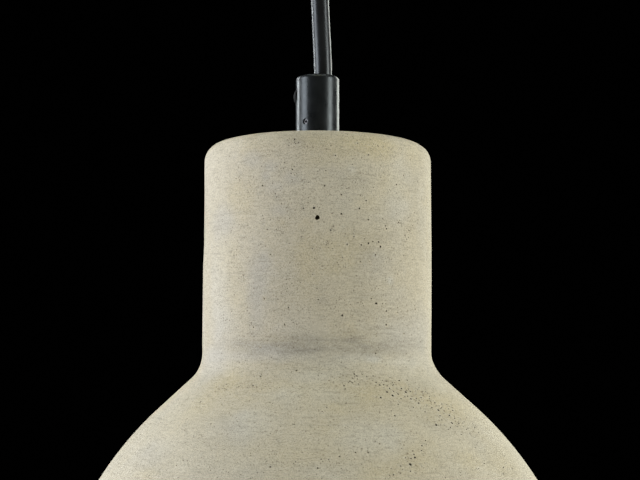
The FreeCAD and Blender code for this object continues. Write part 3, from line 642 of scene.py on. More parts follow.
def porcelain():
    m = Mat("glazed_porcelain")
    body = m.noise(260, 3, 0.5)
    specks = m.ramp(m.cells(520), 0.05, 0.11, 1.0, 0.0)
    m.set(Base_Color=m.mix(m.math("MULTIPLY", specks, 0.5), m.mix(body, (0.80, 0.78, 0.72), (0.86, 0.85, 0.80)), (0.45, 0.38, 0.28)),
          Roughness=m.ramp(body, 0.3, 0.7, 0.18, 0.30))
    m.b.inputs["Coat Weight"].default_value = 0.6
    m.b.inputs["Coat Roughness"].default_value = 0.08
    m.b.inputs["Subsurface Weight"].default_value = 0.15
    m.b.inputs["Subsurface Scale"].default_value = 0.0008
    m.bump((body, 0.00008))
    return m.m


def white_plastic():
    m = Mat("white_polyamide")
    flow = m.noise(140, 3, 0.55, 0.5)
    fine = m.noise(2400, 2, 0.5, offset=1.3)
    m.set(Base_Color=m.mix(flow, (0.72, 0.71, 0.655), (0.80, 0.79, 0.745)), Roughness=m.ramp(flow, 0.3, 0.7, 0.36, 0.50))
    m.b.inputs["Subsurface Weight"].default_value = 0.25
    m.b.inputs["Subsurface Scale"].default_value = 0.0015
    m.bump((fine, 0.000012), (flow, 0.00004))
    return m.m


def rubber():
    m = Mat("soft_rubber")
    fine = m.noise(1600, 3, 0.6)
    dust = m.noise(240, 3, 0.6, offset=0.5)
    m.set(Base_Color=m.mix(m.ramp(dust, 0.45, 0.75, 0, 0.7), (0.018, 0.018, 0.018), (0.050, 0.048, 0.044)),
          Roughness=m.ramp(dust, 0.3, 0.7, 0.7, 0.85))
    m.bump((fine, 0.00003))
    return m.m


def insulation(name, light, dark):
    m = Mat(name)
    broad = m.noise(90, 3, 0.5)
    fine = m.noise(1200, 3, 0.55, offset=0.7)
    m.set(Base_Color=m.mix(m.ramp(broad, 0.3, 0.7), light, dark), Roughness=m.ramp(fine, 0.3, 0.7, 0.30, 0.42))
    m.b.inputs["Subsurface Weight"].default_value = 0.08
    m.b.inputs["Subsurface Scale"].default_value = 0.0005
    m.bump((fine, 0.000015), (broad, 0.00005))
    return m.m


M = {
    "concrete": concrete(),
    "black_plastic": black_plastic(),
    "cord_sheath": cord_sheath(),
    "black_enamel": black_enamel(),
    "zinc_steel": metal("zinc_plated_steel", (0.63, 0.64, 0.65), (0.55, 0.56, 0.575), 0.46, (1, 5, 1), 1100, 0.000004, (0.61, 0.60, 0.555)),
    "spring_steel": metal("spring_steel", (0.50, 0.49, 0.47), (0.36, 0.355, 0.34), 0.30, (1, 1, 3), 1200, 0.00001),
    "brass": metal("turned_brass", (0.80, 0.60, 0.27), (0.68, 0.48, 0.20), 0.32, (1, 1, 5), 1100, 0.000006, (0.58, 0.40, 0.20)),
    "nickel": metal("nickel_plate", (0.72, 0.695, 0.64), (0.64, 0.615, 0.56), 0.30, (1, 1, 6), 900, 0.000004, (0.60, 0.55, 0.46)),
    "holder_plastic": holder_plastic(),
    "porcelain": porcelain(),
    "white_plastic": white_plastic(),
    "washer_rubber": rubber(),
    "brown_insulation": insulation("brown_core", (0.150, 0.055, 0.024), (0.105, 0.036, 0.016)),
    "blue_insulation": insulation("blue_core", (0.045, 0.170, 0.470), (0.030, 0.120, 0.380)),
    "green_yellow_insulation": insulation("green_core", (0.075, 0.260, 0.055), (0.050, 0.200, 0.040)),
}
YELLOW = insulation("yellow_stripe", (0.80, 0.62, 0.06), (0.70, 0.52, 0.05))
COPPER = metal("copper_strands", (0.86, 0.46, 0.28), (0.66, 0.30, 0.17), 0.24, (1, 1, 1), 2600, 0.00003)
SOLDER = metal("tin_solder", (0.66, 0.66, 0.67), (0.54, 0.54, 0.56), 0.26, (1, 1, 1), 600, 0.00008)

BLACK_OXIDE = metal("black_oxide_steel", (0.120, 0.122, 0.128), (0.080, 0.082, 0.086), 0.36, (1, 1, 1), 900, 0.00001)
DULL_NYLON = dull_nylon()
FINISH = {"shade_lock_screw": BLACK_OXIDE, "canopy_lock_screw": BLACK_OXIDE, "shade_clamp_screw": DULL_NYLON, "canopy_clamp_screw": DULL_NYLON}

SLOT_OF = {row["node"]: row["material_slot"] for row in frame["record"]["subparts"]}
for name, ob in NODES.items():
    ob.data.materials.clear()
    ob.data.materials.append(FINISH.get(name) or M[SLOT_OF[name]])
for ob in CORDS:
    ob.data.materials.append(M["cord_sheath"])


# ------------------------------------------------------------------ cast shade
COLUMNS = 256
# how far the hand-cast skin strays from true, in mm, by level, on the left and on the right
STRAY = [(-156, -0.05, 0.15), (-164, -0.05, 0.20), (-176, -0.18, 0.20), (-190, -0.18, 0.20), (-200, 0.08, 0.10), (-212, 0.06, -0.05),
         (-223, 0.02, -0.22), (-229, -0.08, -0.28), (-236, -0.28, 0.15), (-248, -0.40, 0.30), (-272, -0.45, 0.40), (-300, -0.25, 0.15), (-336, -0.05, 0.0)]


def stray(c, level):
    """Radial error in metres where the outward direction's X share is c."""
    for a, b in zip(STRAY, STRAY[1:]):
        if a[0] >= level >= b[0]:
            t = (a[0] - level) / (a[0] - b[0])
            t = t * t * (3 - 2 * t)
            left, right = a[1] + (b[1] - a[1]) * t, a[2] + (b[2] - a[2]) * t
            return (left * max(0.0, -c) ** 2 + right * max(0.0, c) ** 2) * MM
    return 0.0


# single air holes, as (degrees round from the front, level in mm, radius in mm)
MARKED_PITS = [
    (0.3, -185, 0.66), (-1.5, -182.2, 0.34), (-6.4, -182.3, 0.19), (11.4, -177.8, 0.24), (3.5, -175, 0.24), (23.7, -179.4, 0.22),
    (20.2, -182.1, 0.22), (11.4, -184, 0.22), (7, -183.9, 0.16), (24.8, -185.6, 0.21), (32.5, -184.9, 0.14), (34.2, -187.5, 0.18),
    (34.9, -188.2, 0.24), (42.4, -185.8, 0.18), (49.8, -183.8, 0.13), (41.2, -173.3, 0.18), (46.3, -169.9, 0.12), (25, -164.3, 0.17),
    (8.6, -165.1, 0.16), (27.5, -174.9, 0.13), (16.8, -167.8, 0.12), (19.4, -160.8, 0.12), (4.1, -170.1, 0.16), (-4.1, -173.9, 0.12),
    (-15.6, -167.2, 0.14), (-11.7, -169.6, 0.22), (-12.6, -170.9, 0.16), (-10.6, -171.6, 0.12), (-26.7, -174.4, 0.19),
    (-31.8, -171.5, 0.12), (-19.9, -177.3, 0.17), (-19.5, -178.4, 0.16), (-16.8, -180.6, 0.12), (-24, -188.8, 0.16),
    (-19.4, -188.9, 0.12), (-25.9, -185.2, 0.12), (-12.9, -185.5, 0.12), (-10.8, -160.7, 0.14), (-8.9, -160.9, 0.16),
    (-14.5, -159.7, 0.12), (-7.5, -160, 0.12), (-9.7, -161.7, 0.12), (-22.3, -197, 0.21), (-24.9, -194.3, 0.12), (-2.2, -195.3, 0.14),
    (-17.3, -201.6, 0.12), (-25.3, -211.3, 0.19), (-13.3, -214.2, 0.19), (-8.6, -215.2, 0.12), (-15.1, -219.6, 0.17),
    (-31.1, -220.4, 0.16), (0.6, -211.7, 0.21), (-0, -208.2, 0.16), (-13.9, -208, 0.12), (-2.1, -203.6, 0.12), (6.3, -189.5, 0.24),
    (17.5, -191.3, 0.17), (22.7, -191.9, 0.12), (14.2, -193.9, 0.21), (21.1, -193.9, 0.26), (31.3, -194.2, 0.27), (46.9, -189.9, 0.16),
    (49.6, -190.4, 0.16), (48.1, -190.9, 0.14), (60.8, -192.1, 0.13), (45.9, -196.5, 0.13), (69, -197, 0.17), (20.6, -199.3, 0.17),
    (34.7, -199.1, 0.13), (37.8, -198.2, 0.12), (25.2, -199.3, 0.12), (13.3, -201.3, 0.12), (18.6, -203.9, 0.12), (11.9, -198.1, 0.12),
    (26.2, -211.2, 0.16), (28.7, -212.7, 0.37), (32.3, -212.7, 0.16), (33.4, -213.1, 0.12), (54.4, -212.9, 0.16), (41.5, -213.8, 0.12),
    (41.4, -215.4, 0.12), (15.7, -213.2, 0.12), (22.1, -213.5, 0.12), (11.8, -216.7, 0.27), (16.6, -216.7, 0.12), (8.6, -219.9, 0.12),
    (34.5, -219.5, 0.21), (29.3, -222.4, 0.12), (28.9, -223.2, 0.13), (46, -222.2, 0.13), (58, -220.5, 0.12), (28.4, -228.8, 0.19),
    (-27.2, -227, 0.13), (-51.6, -237.2, 0.18), (-46.6, -244.3, 0.26), (-46.3, -249.5, 0.16), (-61.9, -250, 0.16), (-53.5, -251, 0.13),
    (-34.4, -250.7, 0.19), (-37.7, -243.1, 0.16), (-28, -236.2, 0.16), (-21.7, -240.1, 0.16), (-28.3, -239.7, 0.16),
    (-16.5, -244.1, 0.15), (-9.1, -234.2, 0.22), (-6.7, -250.5, 0.2), (-11.5, -262.6, 0.24), (-5.3, -261.1, 0.15), (-14.5, -264.3, 0.15),
    (0.3, -262.8, 0.24), (-6.1, -255.4, 0.12), (-11.1, -255, 0.12), (-29.3, -258.2, 0.12), (-49.4, -259.3, 0.12), (-20.7, -239.3, 0.12),
    (-14.7, -239.5, 0.12), (-4.3, -248.5, 0.12), (-28.1, -263.6, 0.12), (-35.5, -254.2, 0.12), (33, -236.4, 0.16), (36.9, -237.4, 0.26),
    (26, -238.7, 0.25), (27.6, -240.9, 0.29), (29.6, -239.8, 0.22), (30.6, -240.6, 0.16), (35.2, -239.9, 0.26), (36.1, -241, 0.34),
    (38.6, -240.8, 0.22), (29.1, -242, 0.32), (23.8, -242.6, 0.25), (22.2, -242.4, 0.12), (36.3, -243.1, 0.25), (41.8, -242.7, 0.22),
    (46.9, -241.1, 0.21), (38.5, -244.4, 0.34), (44.9, -239.7, 0.16), (53.8, -239.2, 0.13), (56.7, -241.6, 0.16), (46.9, -244.4, 0.26),
    (50.1, -244.9, 0.22), (52.7, -245.1, 0.16), (45.4, -246.7, 0.34), (53.2, -247, 0.23), (44, -248.4, 0.24), (48.8, -248.4, 0.27),
    (47, -250.7, 0.34), (39.4, -251.1, 0.36), (53.2, -249.6, 0.16), (60, -248, 0.13), (50.2, -250.9, 0.19), (57.5, -252.4, 0.28),
    (57.3, -254, 0.19), (25.7, -248.1, 0.23), (29.3, -244.7, 0.19), (30.4, -243.7, 0.15), (25.4, -246.6, 0.12), (34.9, -245.7, 0.16),
    (17.2, -235.9, 0.2), (16.2, -236.2, 0.12), (12.7, -236, 0.12), (9.7, -236.4, 0.12), (16.9, -238.4, 0.16), (11, -239.9, 0.2),
    (12.8, -238, 0.12), (6.8, -238, 0.12), (3.3, -245.5, 0.18), (1.8, -246.7, 0.15), (23.6, -237.4, 0.12), (32, -255.5, 0.18),
    (30, -256.9, 0.23), (29.2, -258.3, 0.18), (28.2, -258.8, 0.12), (26.3, -260.2, 0.29), (24.3, -262.1, 0.4), (25.1, -261.9, 0.26),
    (23.6, -260.2, 0.15), (21.4, -262.5, 0.15), (22.6, -263.3, 0.16), (25, -264.6, 0.15), (18.9, -265, 0.22), (17.9, -265.1, 0.12),
    (49.4, -258.3, 0.19), (45.6, -264.3, 0.15), (62.6, -266.4, 0.13), (13.6, -258.5, 0.21), (10.2, -258.5, 0.18), (5.8, -257.7, 0.12),
    (13.3, -260.8, 0.12), (12.1, -257.5, 0.12), (10, -256.8, 0.12), (17.4, -256.1, 0.12),
]

# places where small pits gather, as (degrees, level, spread in degrees, spread
# in mm, how many)
CLUSTERS = [
    (29.4, -239.1, 6.1, 2.5, 20), (35, -240.7, 5.8, 2.8, 34), (44, -242.7, 7.1, 3.1, 34), (48.8, -246.2, 6.8, 3, 34),
    (50.5, -250.6, 5.4, 2.7, 20), (41.1, -249.7, 3.5, 2.4, 12), (54.9, -253.8, 5.9, 2.6, 10), (25.7, -259.6, 3, 3.4, 18),
    (20.4, -263.6, 2.4, 1.7, 8), (14.9, -236.6, 3.9, 1.6, 10), (23.9, -236.6, 4.2, 1.9, 8), (7.4, -237.9, 3.3, 1.9, 6),
    (-42.3, -238.7, 9.5, 2.8, 12), (-26.7, -238.9, 6.4, 2.5, 8), (23.5, -192.6, 6.2, 2.3, 6), (-10.1, -160.3, 3.9, 1.7, 6),
    (46.6, -215.2, 9.1, 3, 8), (30.9, -212.5, 5, 1.3, 5), (49.4, -187.3, 6.5, 3.3, 6), (-18.3, -224.6, 7.9, 1.6, 6),
    (54.5, -265.4, 6.1, 2.2, 8), (3.4, -260.6, 4.1, 2.2, 4)]

# soft patches, as (degrees round from the front, level in mm, half width in
# degrees, half height in mm, strength); stains in the casting, with painted light among the pale ones and painted
# shade among the darker ones along the crease and low on the dome
STAINS_AND_PAINTED_LIGHT = {
    "ochre": [(0.4, -161.1, 10.4, 3.1, 0.45), (28, -161.3, 14.8, 3.9, 0.75), (13.2, -163.2, 10.7, 3.3, 0.5),
        (53.3, -161.5, 9.6, 5.4, 0.35), (-27.1, -162.7, 11, 2.7, 0.2), (-5.1, -199.7, 5.6, 8.4, 0.45), (12.1, -195.7, 9.6, 5.2, 0.4),
        (8.3, -201.6, 5.6, 1.9, 0.45), (-44.5, -213, 6.4, 11.1, 0.3), (-49.3, -198.7, 7.3, 6, 0.3), (-39.8, -178.6, 7.9, 5, 0.35),
        (18, -240.9, 8, 3.4, 0.6), (6.2, -244.8, 4.8, 1.8, 0.6), (-2.1, -235.4, 11.3, 2.5, 0.45), (-42, -238, 8.4, 2.8, 0.4),
        (-45.4, -245, 4.8, 3, 0.35), (44.1, -261.8, 4.7, 3.1, 0.45), (15, -264.3, 3.5, 1.9, 0.4), (50.2, -245, 17.9, 4.3, 0.4),
        (-6.3, -259.2, 6.8, 3.1, 0.3), (-48.2, -266.3, 3.3, 1.4, 0.3), (38.3, -174, 9, 4, 0.35), (2.3, -166.6, 10.4, 2.6, 0.3),
        (26.7, -180.4, 8.7, 2.6, 0.25), (57.2, -263.2, 9.5, 3.9, 0.35), (27.7, -260.5, 6.6, 3.4, 0.25), (3.9, -252.1, 5.2, 2.3, 0.2),
        (4.5, -239.5, 15, 4.2, 0.6), (-9.5, -238.6, 6.5, 2.6, 0.5)],
    "cool": [(-28.7, -208.4, 4.4, 12.3, 0.4), (-26.1, -199.4, 3.7, 3.9, 0.4), (-32.6, -165.7, 4.7, 2, 0.35),
        (-22.8, -168.5, 3.6, 2, 0.35), (-24.8, -171.4, 2.6, 1.6, 0.4), (-11.8, -172.4, 4.8, 2.6, 0.35), (-20.2, -174.8, 4.6, 2, 0.3),
        (-53.1, -184.8, 9.2, 4.7, 0.4), (-17.6, -183, 4.5, 2, 0.3), (5.5, -169.9, 6.6, 2, 0.2), (-50.4, -221.1, 10.2, 6.6, 0.35),
        (29.8, -201.2, 8.9, 5.8, 0.25), (-27.2, -251.9, 5.5, 2.6, 0.28), (-24.4, -248.3, 3.2, 1.5, 0.3),
        (-24.3, -227.4, 8.3, 1.9, 0.55), (-41.3, -229.6, 15.4, 1.6, 0.4), (38.9, -181.2, 7.7, 4.6, 0.2), (-52, -259.9, 7, 3.4, 0.25),
        (13, -227.8, 11.5, 1.9, 0.25), (-57, -229.9, 13.5, 3, 0.5), (50.3, -221, 16.4, 8.6, 0.45), (39.8, -211.4, 10.5, 4.6, 0.25), (-56, -234.5, 9, 5, 0.4)],
    # pale: paler skin, and painted light below the crease at the front and on the neck's two flanks
    "pale": [(26.7, -230.6, 4.7, 1, 0.75), (16.3, -230.3, 12.7, 1.3, 0.5), (-9.6, -230, 16.1, 1.3, 0.35), (21.6, -254.6, 4.3, 3.4, 0.4),
        (12.2, -179.5, 6.7, 4.5, 0.15), (16.6, -169.3, 2, 1.3, 0.45), (36.9, -205.1, 1.5, 1, 0.6), (28.5, -197.2, 1.1, 0.8, 0.5),
        (13.9, -254.5, 6.4, 3.4, 0.3), (3.3, -263.4, 6.4, 2.2, 0.2), (3.4, -240.9, 7.5, 3.6, 0.35), (-19.8, -250.5, 6.5, 4.1, 0.32),
        (7.3, -232.2, 11.9, 2.2, 0.35), (-7.8, -221.4, 9.4, 5.7, 0.15), (43.5, -231.5, 11.2, 1.3, 0.3), (4, -236.2, 15, 2.6, 0.45),
        (-11, -241.5, 7, 3.2, 0.3), (-55, -210, 8, 14, 0.3), (44, -176, 6, 12, 0.25)],
    # painted shade along the crease and low on the dome, with grey stains and spots on the neck
    "painted_shade_and_stain": [(0.5, -226.2, 37.1, 2.2, 0.95), (-7.8, -225.6, 24.2, 3.2, 0.45), (21.3, -225.8, 13.3, 1.9, 0.55),
        (-28.5, -227.7, 7.6, 1.9, 0.45), (37.7, -227.7, 11.4, 2.3, 0.3), (-30.9, -211.6, 3.4, 13, 0.22), (1.9, -212.2, 2.3, 1, 0.4),
        (0, -208, 1.8, 0.6, 0.3), (-1.5, -183.5, 2.3, 1.6, 0.3), (-19.1, -178.4, 1.5, 0.8, 0.5), (-9.6, -160.3, 4.8, 1.7, 0.3),
        (40.7, -241.1, 25, 4.9, 0.18), (46.2, -246.8, 14.4, 4.8, 0.15), (18.4, -214.3, 2, 1, 0.3), (26.6, -197.4, 7, 5.8, 0.3),
        (24.4, -210.4, 6.3, 4.5, 0.35), (25.4, -226.4, 7.9, 2.6, 0.75), (21.5, -172.8, 6.2, 3.9, 0.28),
        (35.7, -187.9, 6.1, 3.3, 0.2), (13.1, -178.2, 3.4, 7.2, 0.2), (-42, -266, 14, 9, 0.2), (49, -267, 13, 8, 0.15),
        (26.5, -217.5, 5.5, 11, 0.26), (-34, -255.5, 11, 7, 0.2), (-12, -186, 5, 3, 0.12)],
    "freckle": [
        (29.4, -239.1, 6.7, 2.7, 0.8), (35, -240.7, 6.4, 3.1, 1), (44, -242.7, 7.8, 3.4, 1), (48.8, -246.2, 7.5, 3.3, 1),
        (50.5, -250.6, 6, 2.9, 0.8), (41.1, -249.7, 3.9, 2.6, 0.7), (54.9, -253.8, 6.5, 2.9, 0.5), (25.7, -259.6, 3.2, 3.7, 0.7),
        (20.4, -263.6, 2.6, 1.8, 0.6), (14.9, -236.6, 4.3, 1.7, 0.6), (23.9, -236.6, 4.6, 2.1, 0.5), (7.4, -237.9, 3.6, 2, 0.5),
        (-42.3, -238.7, 10.4, 3.1, 0.45), (-26.7, -238.9, 7, 2.7, 0.4), (23.5, -192.6, 6.8, 2.5, 0.4), (-10.1, -160.3, 4.2, 1.9, 0.5),
        (46.6, -215.2, 10, 3.2, 0.45), (30.9, -212.5, 5.5, 1.4, 0.5), (49.4, -187.3, 7.1, 3.7, 0.35), (-18.3, -224.6, 8.7, 1.8, 0.4),
        (54.5, -265.4, 6.7, 2.5, 0.3), (3.4, -260.6, 4.5, 2.5, 0.3)],
}


def stain_and_painted_light(kind, deg, level, p):
    """How strong a patch of this kind is at a point of the outer skin; some kinds are stains in the casting and some
    are painted light and shade.
    """
    total = 0.0
    warp = 0.45 * noise.noise(p * 70) + 0.30 * noise.noise(p * 190 + Vector((4, 2, 7)))
    for d0, l0, hd, hl, k in STAINS_AND_PAINTED_LIGHT[kind]:
        dd = (deg - d0 + 180) % 360 - 180
        if abs(dd) > hd * 2.4 or abs(level - l0) > hl * 2.4:
            continue
        d = math.hypot(dd / hd, (level - l0) / hl) * 0.80 + warp * 0.8
        t = min(1.0, max(0.0, (1.55 - d) / 1.35))
        total = max(total, k * t * t * (3 - 2 * t))
    return total


def make_shade():
    rnd = random.Random(20)
    section, outer, inner = SECTION, OUTER, INNER
    n, cols = len(section), COLUMNS
    r = np.array([p[0] for p in section]) * MM
    z = np.array([p[1] for p in section]) * MM
    # outward normals of the section, which runs with the solid on its right
    dr = np.roll(r, -1) - np.roll(r, 1)
    dz = np.roll(z, -1) - np.roll(z, 1)
    ln = np.hypot(dr, dz)
    nr, nz = -dz / ln, dr / ln
    if nr[(outer[0] + outer[1]) // 2] < 0:
        nr, nz = -nr, -nz
    th = 2 * math.pi * np.arange(cols) / cols
    grid = np.empty((n, cols, 3))
    normal = np.empty((n, cols, 3))
    for i in range(n):
        on_skin = outer[0] <= i <= outer[1]
        inside = inner[0] <= i <= inner[1]
        amp = 0.00010 if on_skin else 0.00022 if inside else 0.00004
        for j in range(cols):
            c, s = math.cos(th[j]), math.sin(th[j])
            p = Vector((r[i] * c, r[i] * s, z[i]))
            q = Vector((nr[i] * c, nr[i] * s, nz[i]))
            h = noise.noise(p * 22) * amp + noise.noise(p * 75 + Vector((3, 1, 2))) * amp * 0.14
            h += noise.noise(p * 330 + Vector((1, 5, 2))) * amp * 0.03
            p += q * (h - amp * 0.6)
            if on_skin and i > outer[0] + 4:
                e = stray(c, z[i] * 1000)
                p += Vector((c * e, s * e, 0))
                # the mould's upper edge is a little worn at one place
                deg = (math.degrees(th[j]) + 90 + 180) % 360 - 180
                p -= q * 0.00055 * math.exp(-((deg + 53) / 8.0) ** 2 - ((z[i] * 1000 + 158.5) / 3.0) ** 2)
            grid[i, j] = p
            normal[i, j] = q
    used = np.zeros((n, cols), bool)
    verts = [tuple(p) for p in grid.reshape(-1, 3)]
    faces, shade_of = [], {}

    def at(u, v):
        """A point on the grid's own faces, u in rows and v in columns."""
        i, j = int(math.floor(u)), int(math.floor(v))
        a, b = u - i, v - j
        g = grid
        p = (g[i % n, j % cols] * (1 - a) * (1 - b) + g[(i + 1) % n, j % cols] * a * (1 - b)
             + g[i % n, (j + 1) % cols] * (1 - a) * b + g[(i + 1) % n, (j + 1) % cols] * a * b)
        return p

    def dig(i, j, k, radius, deep, squeeze=1.0, exact=None):
        """Cuts a pit in the block of k by k cells whose first is i, j. exact is
        its wanted centre, in rows and columns."""
        for a in range(k):
            for b in range(k):
                if used[(i + a) % n, (j + b) % cols]:
                    return False
        ui, vj = i + k / 2, j + k / 2
        size_u = float(np.linalg.norm(at(i + k, vj) - at(i, vj))) / k
        size_v = float(np.linalg.norm(at(ui, j + k) - at(ui, j))) / k
        room = 0.46 * k * min(size_u, size_v)
        if radius > room:
            radius = room
        su, sv = max(0.0, 0.48 * k - radius * 1.06 / size_u), max(0.0, 0.48 * k - radius * 1.06 / size_v)
        if exact:
            ui, vj = min(ui + su, max(ui - su, exact[0])), min(vj + sv, max(vj - sv, exact[1]))
        else:
            ui, vj = ui + rnd.uniform(-1, 1) * su, vj + rnd.uniform(-1, 1) * sv
        for a in range(k):
            for b in range(k):
                used[(i + a) % n, (j + b) % cols] = True
        m = 6 if radius < 0.0002 else 8 if radius < 0.00034 else 12
        turn = rnd.uniform(0, 6.28)
        wob = [rnd.uniform(0.80, 1.06) for _ in range(m)]
        nrm = normal[int(ui) % n, int(vj) % cols]
        centre = at(ui, vj)
        ring = []
        for q in range(m):
            ang = 2 * math.pi * q / m
            rr = radius * wob[q]
            ring.append((ang, ui + rr * math.sin(ang) * squeeze / size_u, vj + rr * math.cos(ang) / size_v))
        ids = []
        start = len(verts)
        for ang, u, v in ring:
            ids.append(len(verts))
            verts.append(tuple(at(u, v)))
        # the block's border, in the same turning sense as the ring
        border = []
        for b in range(k):
            border.append((i, j + b))
        for a in range(k):
            border.append((i + a, j + k))
        for b in range(k):
            border.append((i + k, j + k - b))
        for a in range(k):
            border.append((i + k - a, j))
        bang = [(math.atan2((u - ui) * size_u, (v - vj) * size_v), (u % n) * cols + (v % cols)) for u, v in border]
        bang.sort()
        rang = [(ring[q][0] if ring[q][0] <= math.pi else ring[q][0] - 2 * math.pi, ids[q]) for q in range(m)]
        rang.sort()
        # zip the two loops together by angle
        A, B = len(bang), len(rang)
        a0 = bang[0][0]
        # first ring point nearest the first border point
        s0 = min(range(B), key=lambda q: abs((rang[q][0] - a0 + math.pi) % (2 * math.pi) - math.pi))
        ia = ib = 0
        while ia < A or ib < B:
            pa, pb = bang[ia % A], rang[(s0 + ib) % B]
            na, nb = bang[(ia + 1) % A], rang[(s0 + ib + 1) % B]
            ga = (na[0] - a0) % (2 * math.pi) + (2 * math.pi if ia + 1 >= A else 0)
            gb = (nb[0] - a0) % (2 * math.pi)
            if ib + 1 >= B:
                gb += 2 * math.pi if gb < math.pi else 0
            elif ib == 0 and gb > 1.5 * math.pi:
                gb -= 2 * math.pi
            if ib >= B or (ia < A and ga <= gb):
                faces.append((pa[1], na[1], pb[1]))
                ia += 1
            else:
                faces.append((pa[1], nb[1], pb[1]))
                ib += 1
        # walls and floor of the pit; their shade_of values paint shade into the pit, darker the deeper they lie
        prev = ids
        for shrink, down in ((0.93, 0.35), (0.78, 0.80)):
            here = []
            for q in range(m):
                p = np.array(verts[ids[q]])
                e = centre + (p - centre) * shrink - nrm * deep * down
                here.append(len(verts))
                verts.append(tuple(e))
                shade_of[here[-1]] = min(1.0, 0.75 + down * 0.6)
            for q in range(m):
                faces.append((prev[q], prev[(q + 1) % m], here[(q + 1) % m], here[q]))
            prev = here
        bottom = len(verts)
        verts.append(tuple(centre - nrm * deep))
        shade_of[bottom] = 1.0
        for q in range(m):
            faces.append((prev[q], prev[(q + 1) % m], bottom))
        for q in ids:
            shade_of[q] = 0.0
        return True

    def spot(deg, level):
        """Row and column, with fractions, of a place on the outer skin."""
        v = (math.radians(-90 + deg) % (2 * math.pi)) / (2 * math.pi) * cols
        for i in range(outer[0], outer[1]):
            if z[i] >= level * MM >= z[i + 1] and z[i] > z[i + 1]:
                return i + (z[i] - level * MM) / (z[i] - z[i + 1]), v
        raise ValueError("level off the skin")

    missed = 0
    for deg, level, radius in sorted(MARKED_PITS, key=lambda t: -t[2]):
        u, v = spot(deg, level)
        thick = 1.22 if 14 < deg < 60 and -258 < level < -234 else 1.10
        radius = (radius * thick + 0.05) * MM
        i, j = int(u), int(v)
        cell = float(np.linalg.norm(at(i + 1, j) - at(i, j)))
        off = max(0.0, radius * 1.06 / cell - min(u - i, i + 1 - u, v - j, j + 1 - v)) * cell
        tries = []
        if radius < 0.44 * cell:
            tries.append((i, j, 1))
            if off > 0.00010:
                tries.insert(0, (int(round(u)) - 1, int(round(v)) - 1, 2))
        elif radius < 0.92 * cell:
            tries.append((int(round(u)) - 1, int(round(v)) - 1, 2))
            tries.append((i, j, 1))
        else:
            tries.append((i - 1, j - 1, 3))
        if not any(dig(a, b, k, radius, radius * 1.5, rnd.uniform(0.8, 1.15), (u, v)) for a, b, k in tries):
            missed += 1
    for deg, level, spread, rise, many in CLUSTERS:
        for _ in range(many):
            u, v = spot(deg + rnd.gauss(0, spread * 0.62), min(-157.0, level + rnd.gauss(0, rise * 0.62)))
            radius = (0.13 + 0.18 * rnd.random() ** 1.6) * MM
            dig(int(u), int(v), 1, radius, radius * 1.5, rnd.uniform(0.8, 1.2), (u, v))
    # chance pinholes, thicker in some places than in others; the front above
    # the dome's widest part has its own, marked above
    tries = 0
    made = 0
    while made < 560 and tries < 12000:
        tries += 1
        i, j = rnd.randrange(outer[0] + 1, outer[1] - 1), rnd.randrange(cols)
        p = Vector(grid[i, j])
        if p.y < -0.004 and p.z > -0.262:
            continue
        thick = 0.35 + 1.1 * noise.noise(p * 30) + 0.6 * noise.noise(p * 110)
        if rnd.random() > thick * (0.35 + 0.65 * r[i] / 0.09):
            continue
        big = rnd.random()
        radius = 0.00012 + 0.00018 * rnd.random() ** 2 + (0.00026 * rnd.random() if big > 0.93 else 0)
        k = 1 if radius < 0.00040 else 2
        if dig(i, j, k, radius, radius * rnd.uniform(1.0, 1.7), rnd.uniform(0.75, 1.2)):
            made += 1
    made = 0
    while made < 130:
        i, j = rnd.randrange(inner[0] + 1, inner[1] - 1), rnd.randrange(cols)
        radius = 0.0002 + 0.00065 * rnd.random() ** 3
        if dig(i, j, 1, radius, radius * rnd.uniform(0.7, 1.3)):
            made += 1
    for i in range(n):
        for j in range(cols):
            if not used[i, j]:
                a, b = i * cols + j, i * cols + (j + 1) % cols
                c, e = ((i + 1) % n) * cols + (j + 1) % cols, ((i + 1) % n) * cols + j
                faces.append((a, b, c, e))
    me = bpy.data.meshes.new("cast_shade")
    me.from_pydata(verts, [], faces)
    bm = bmesh.new()
    bm.from_mesh(me)
    bm.verts.ensure_lookup_table()
    # the pit layer carries the painted shade inside the pits
    layer = bm.verts.layers.float.new("pit")
    for v, s in shade_of.items():
        bm.verts[v][layer] = s
    # the patch layers: stains in the casting, with painted light among the pale patches and painted shade among the
    # darker ones
    for kind in STAINS_AND_PAINTED_LIGHT:
        layer = bm.verts.layers.float.new(kind)
        for i in range(outer[0], outer[1] + 1):
            for j in range(cols):
                deg = (360.0 * j / cols + 90 + 180) % 360 - 180
                k = stain_and_painted_light(kind, deg, z[i] * 1000, Vector(grid[i, j]))
                if k > 0:
                    bm.verts[i * cols + j][layer] = k
    bmesh.ops.delete(bm, geom=[v for v in bm.verts if not v.link_faces], context="VERTS")
    bmesh.ops.recalc_face_normals(bm, faces=bm.faces)
    bad = sum(1 for e in bm.edges if len(e.link_faces) != 2)
    bm.to_mesh(me)
    bm.free()
    me.polygons.foreach_set("use_smooth", [True] * len(me.polygons))
    me.set_sharp_from_angle(angle=math.radians(38))
    print("cast_shade: triangles", sum(len(f.vertices) - 2 for f in me.polygons), "open edges", bad, "missed pits", missed)
    ob = link(bpy.data.objects.new("cast_shade", me))
    me.materials.append(M["concrete"])
    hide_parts("shade")
    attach(ob, "shade")
    return ob


make_shade()


# ------------------------------------------------------------------ wires and fittings inside
def compound(name, shells, sharp=50.0):
    """One mesh of several closed shells, each (verts, faces, material), where
    material may be a function of the face's number."""
    verts, faces, wants = [], [], []
    for v, f, mat in shells:
        base = len(verts)
        verts += v
        for k, face in enumerate(f):
            faces.append(tuple(q + base for q in face))
            wants.append(mat(k) if callable(mat) else mat)
    ob = mesh_object(name, verts, faces, sharp)
    order = []
    for w in wants:
        if w not in order:
            order.append(w)
    for w in order:
        ob.data.materials.append(w)
    for poly, w in zip(ob.data.polygons, wants):
        poly.material_index = order.index(w)
    return ob


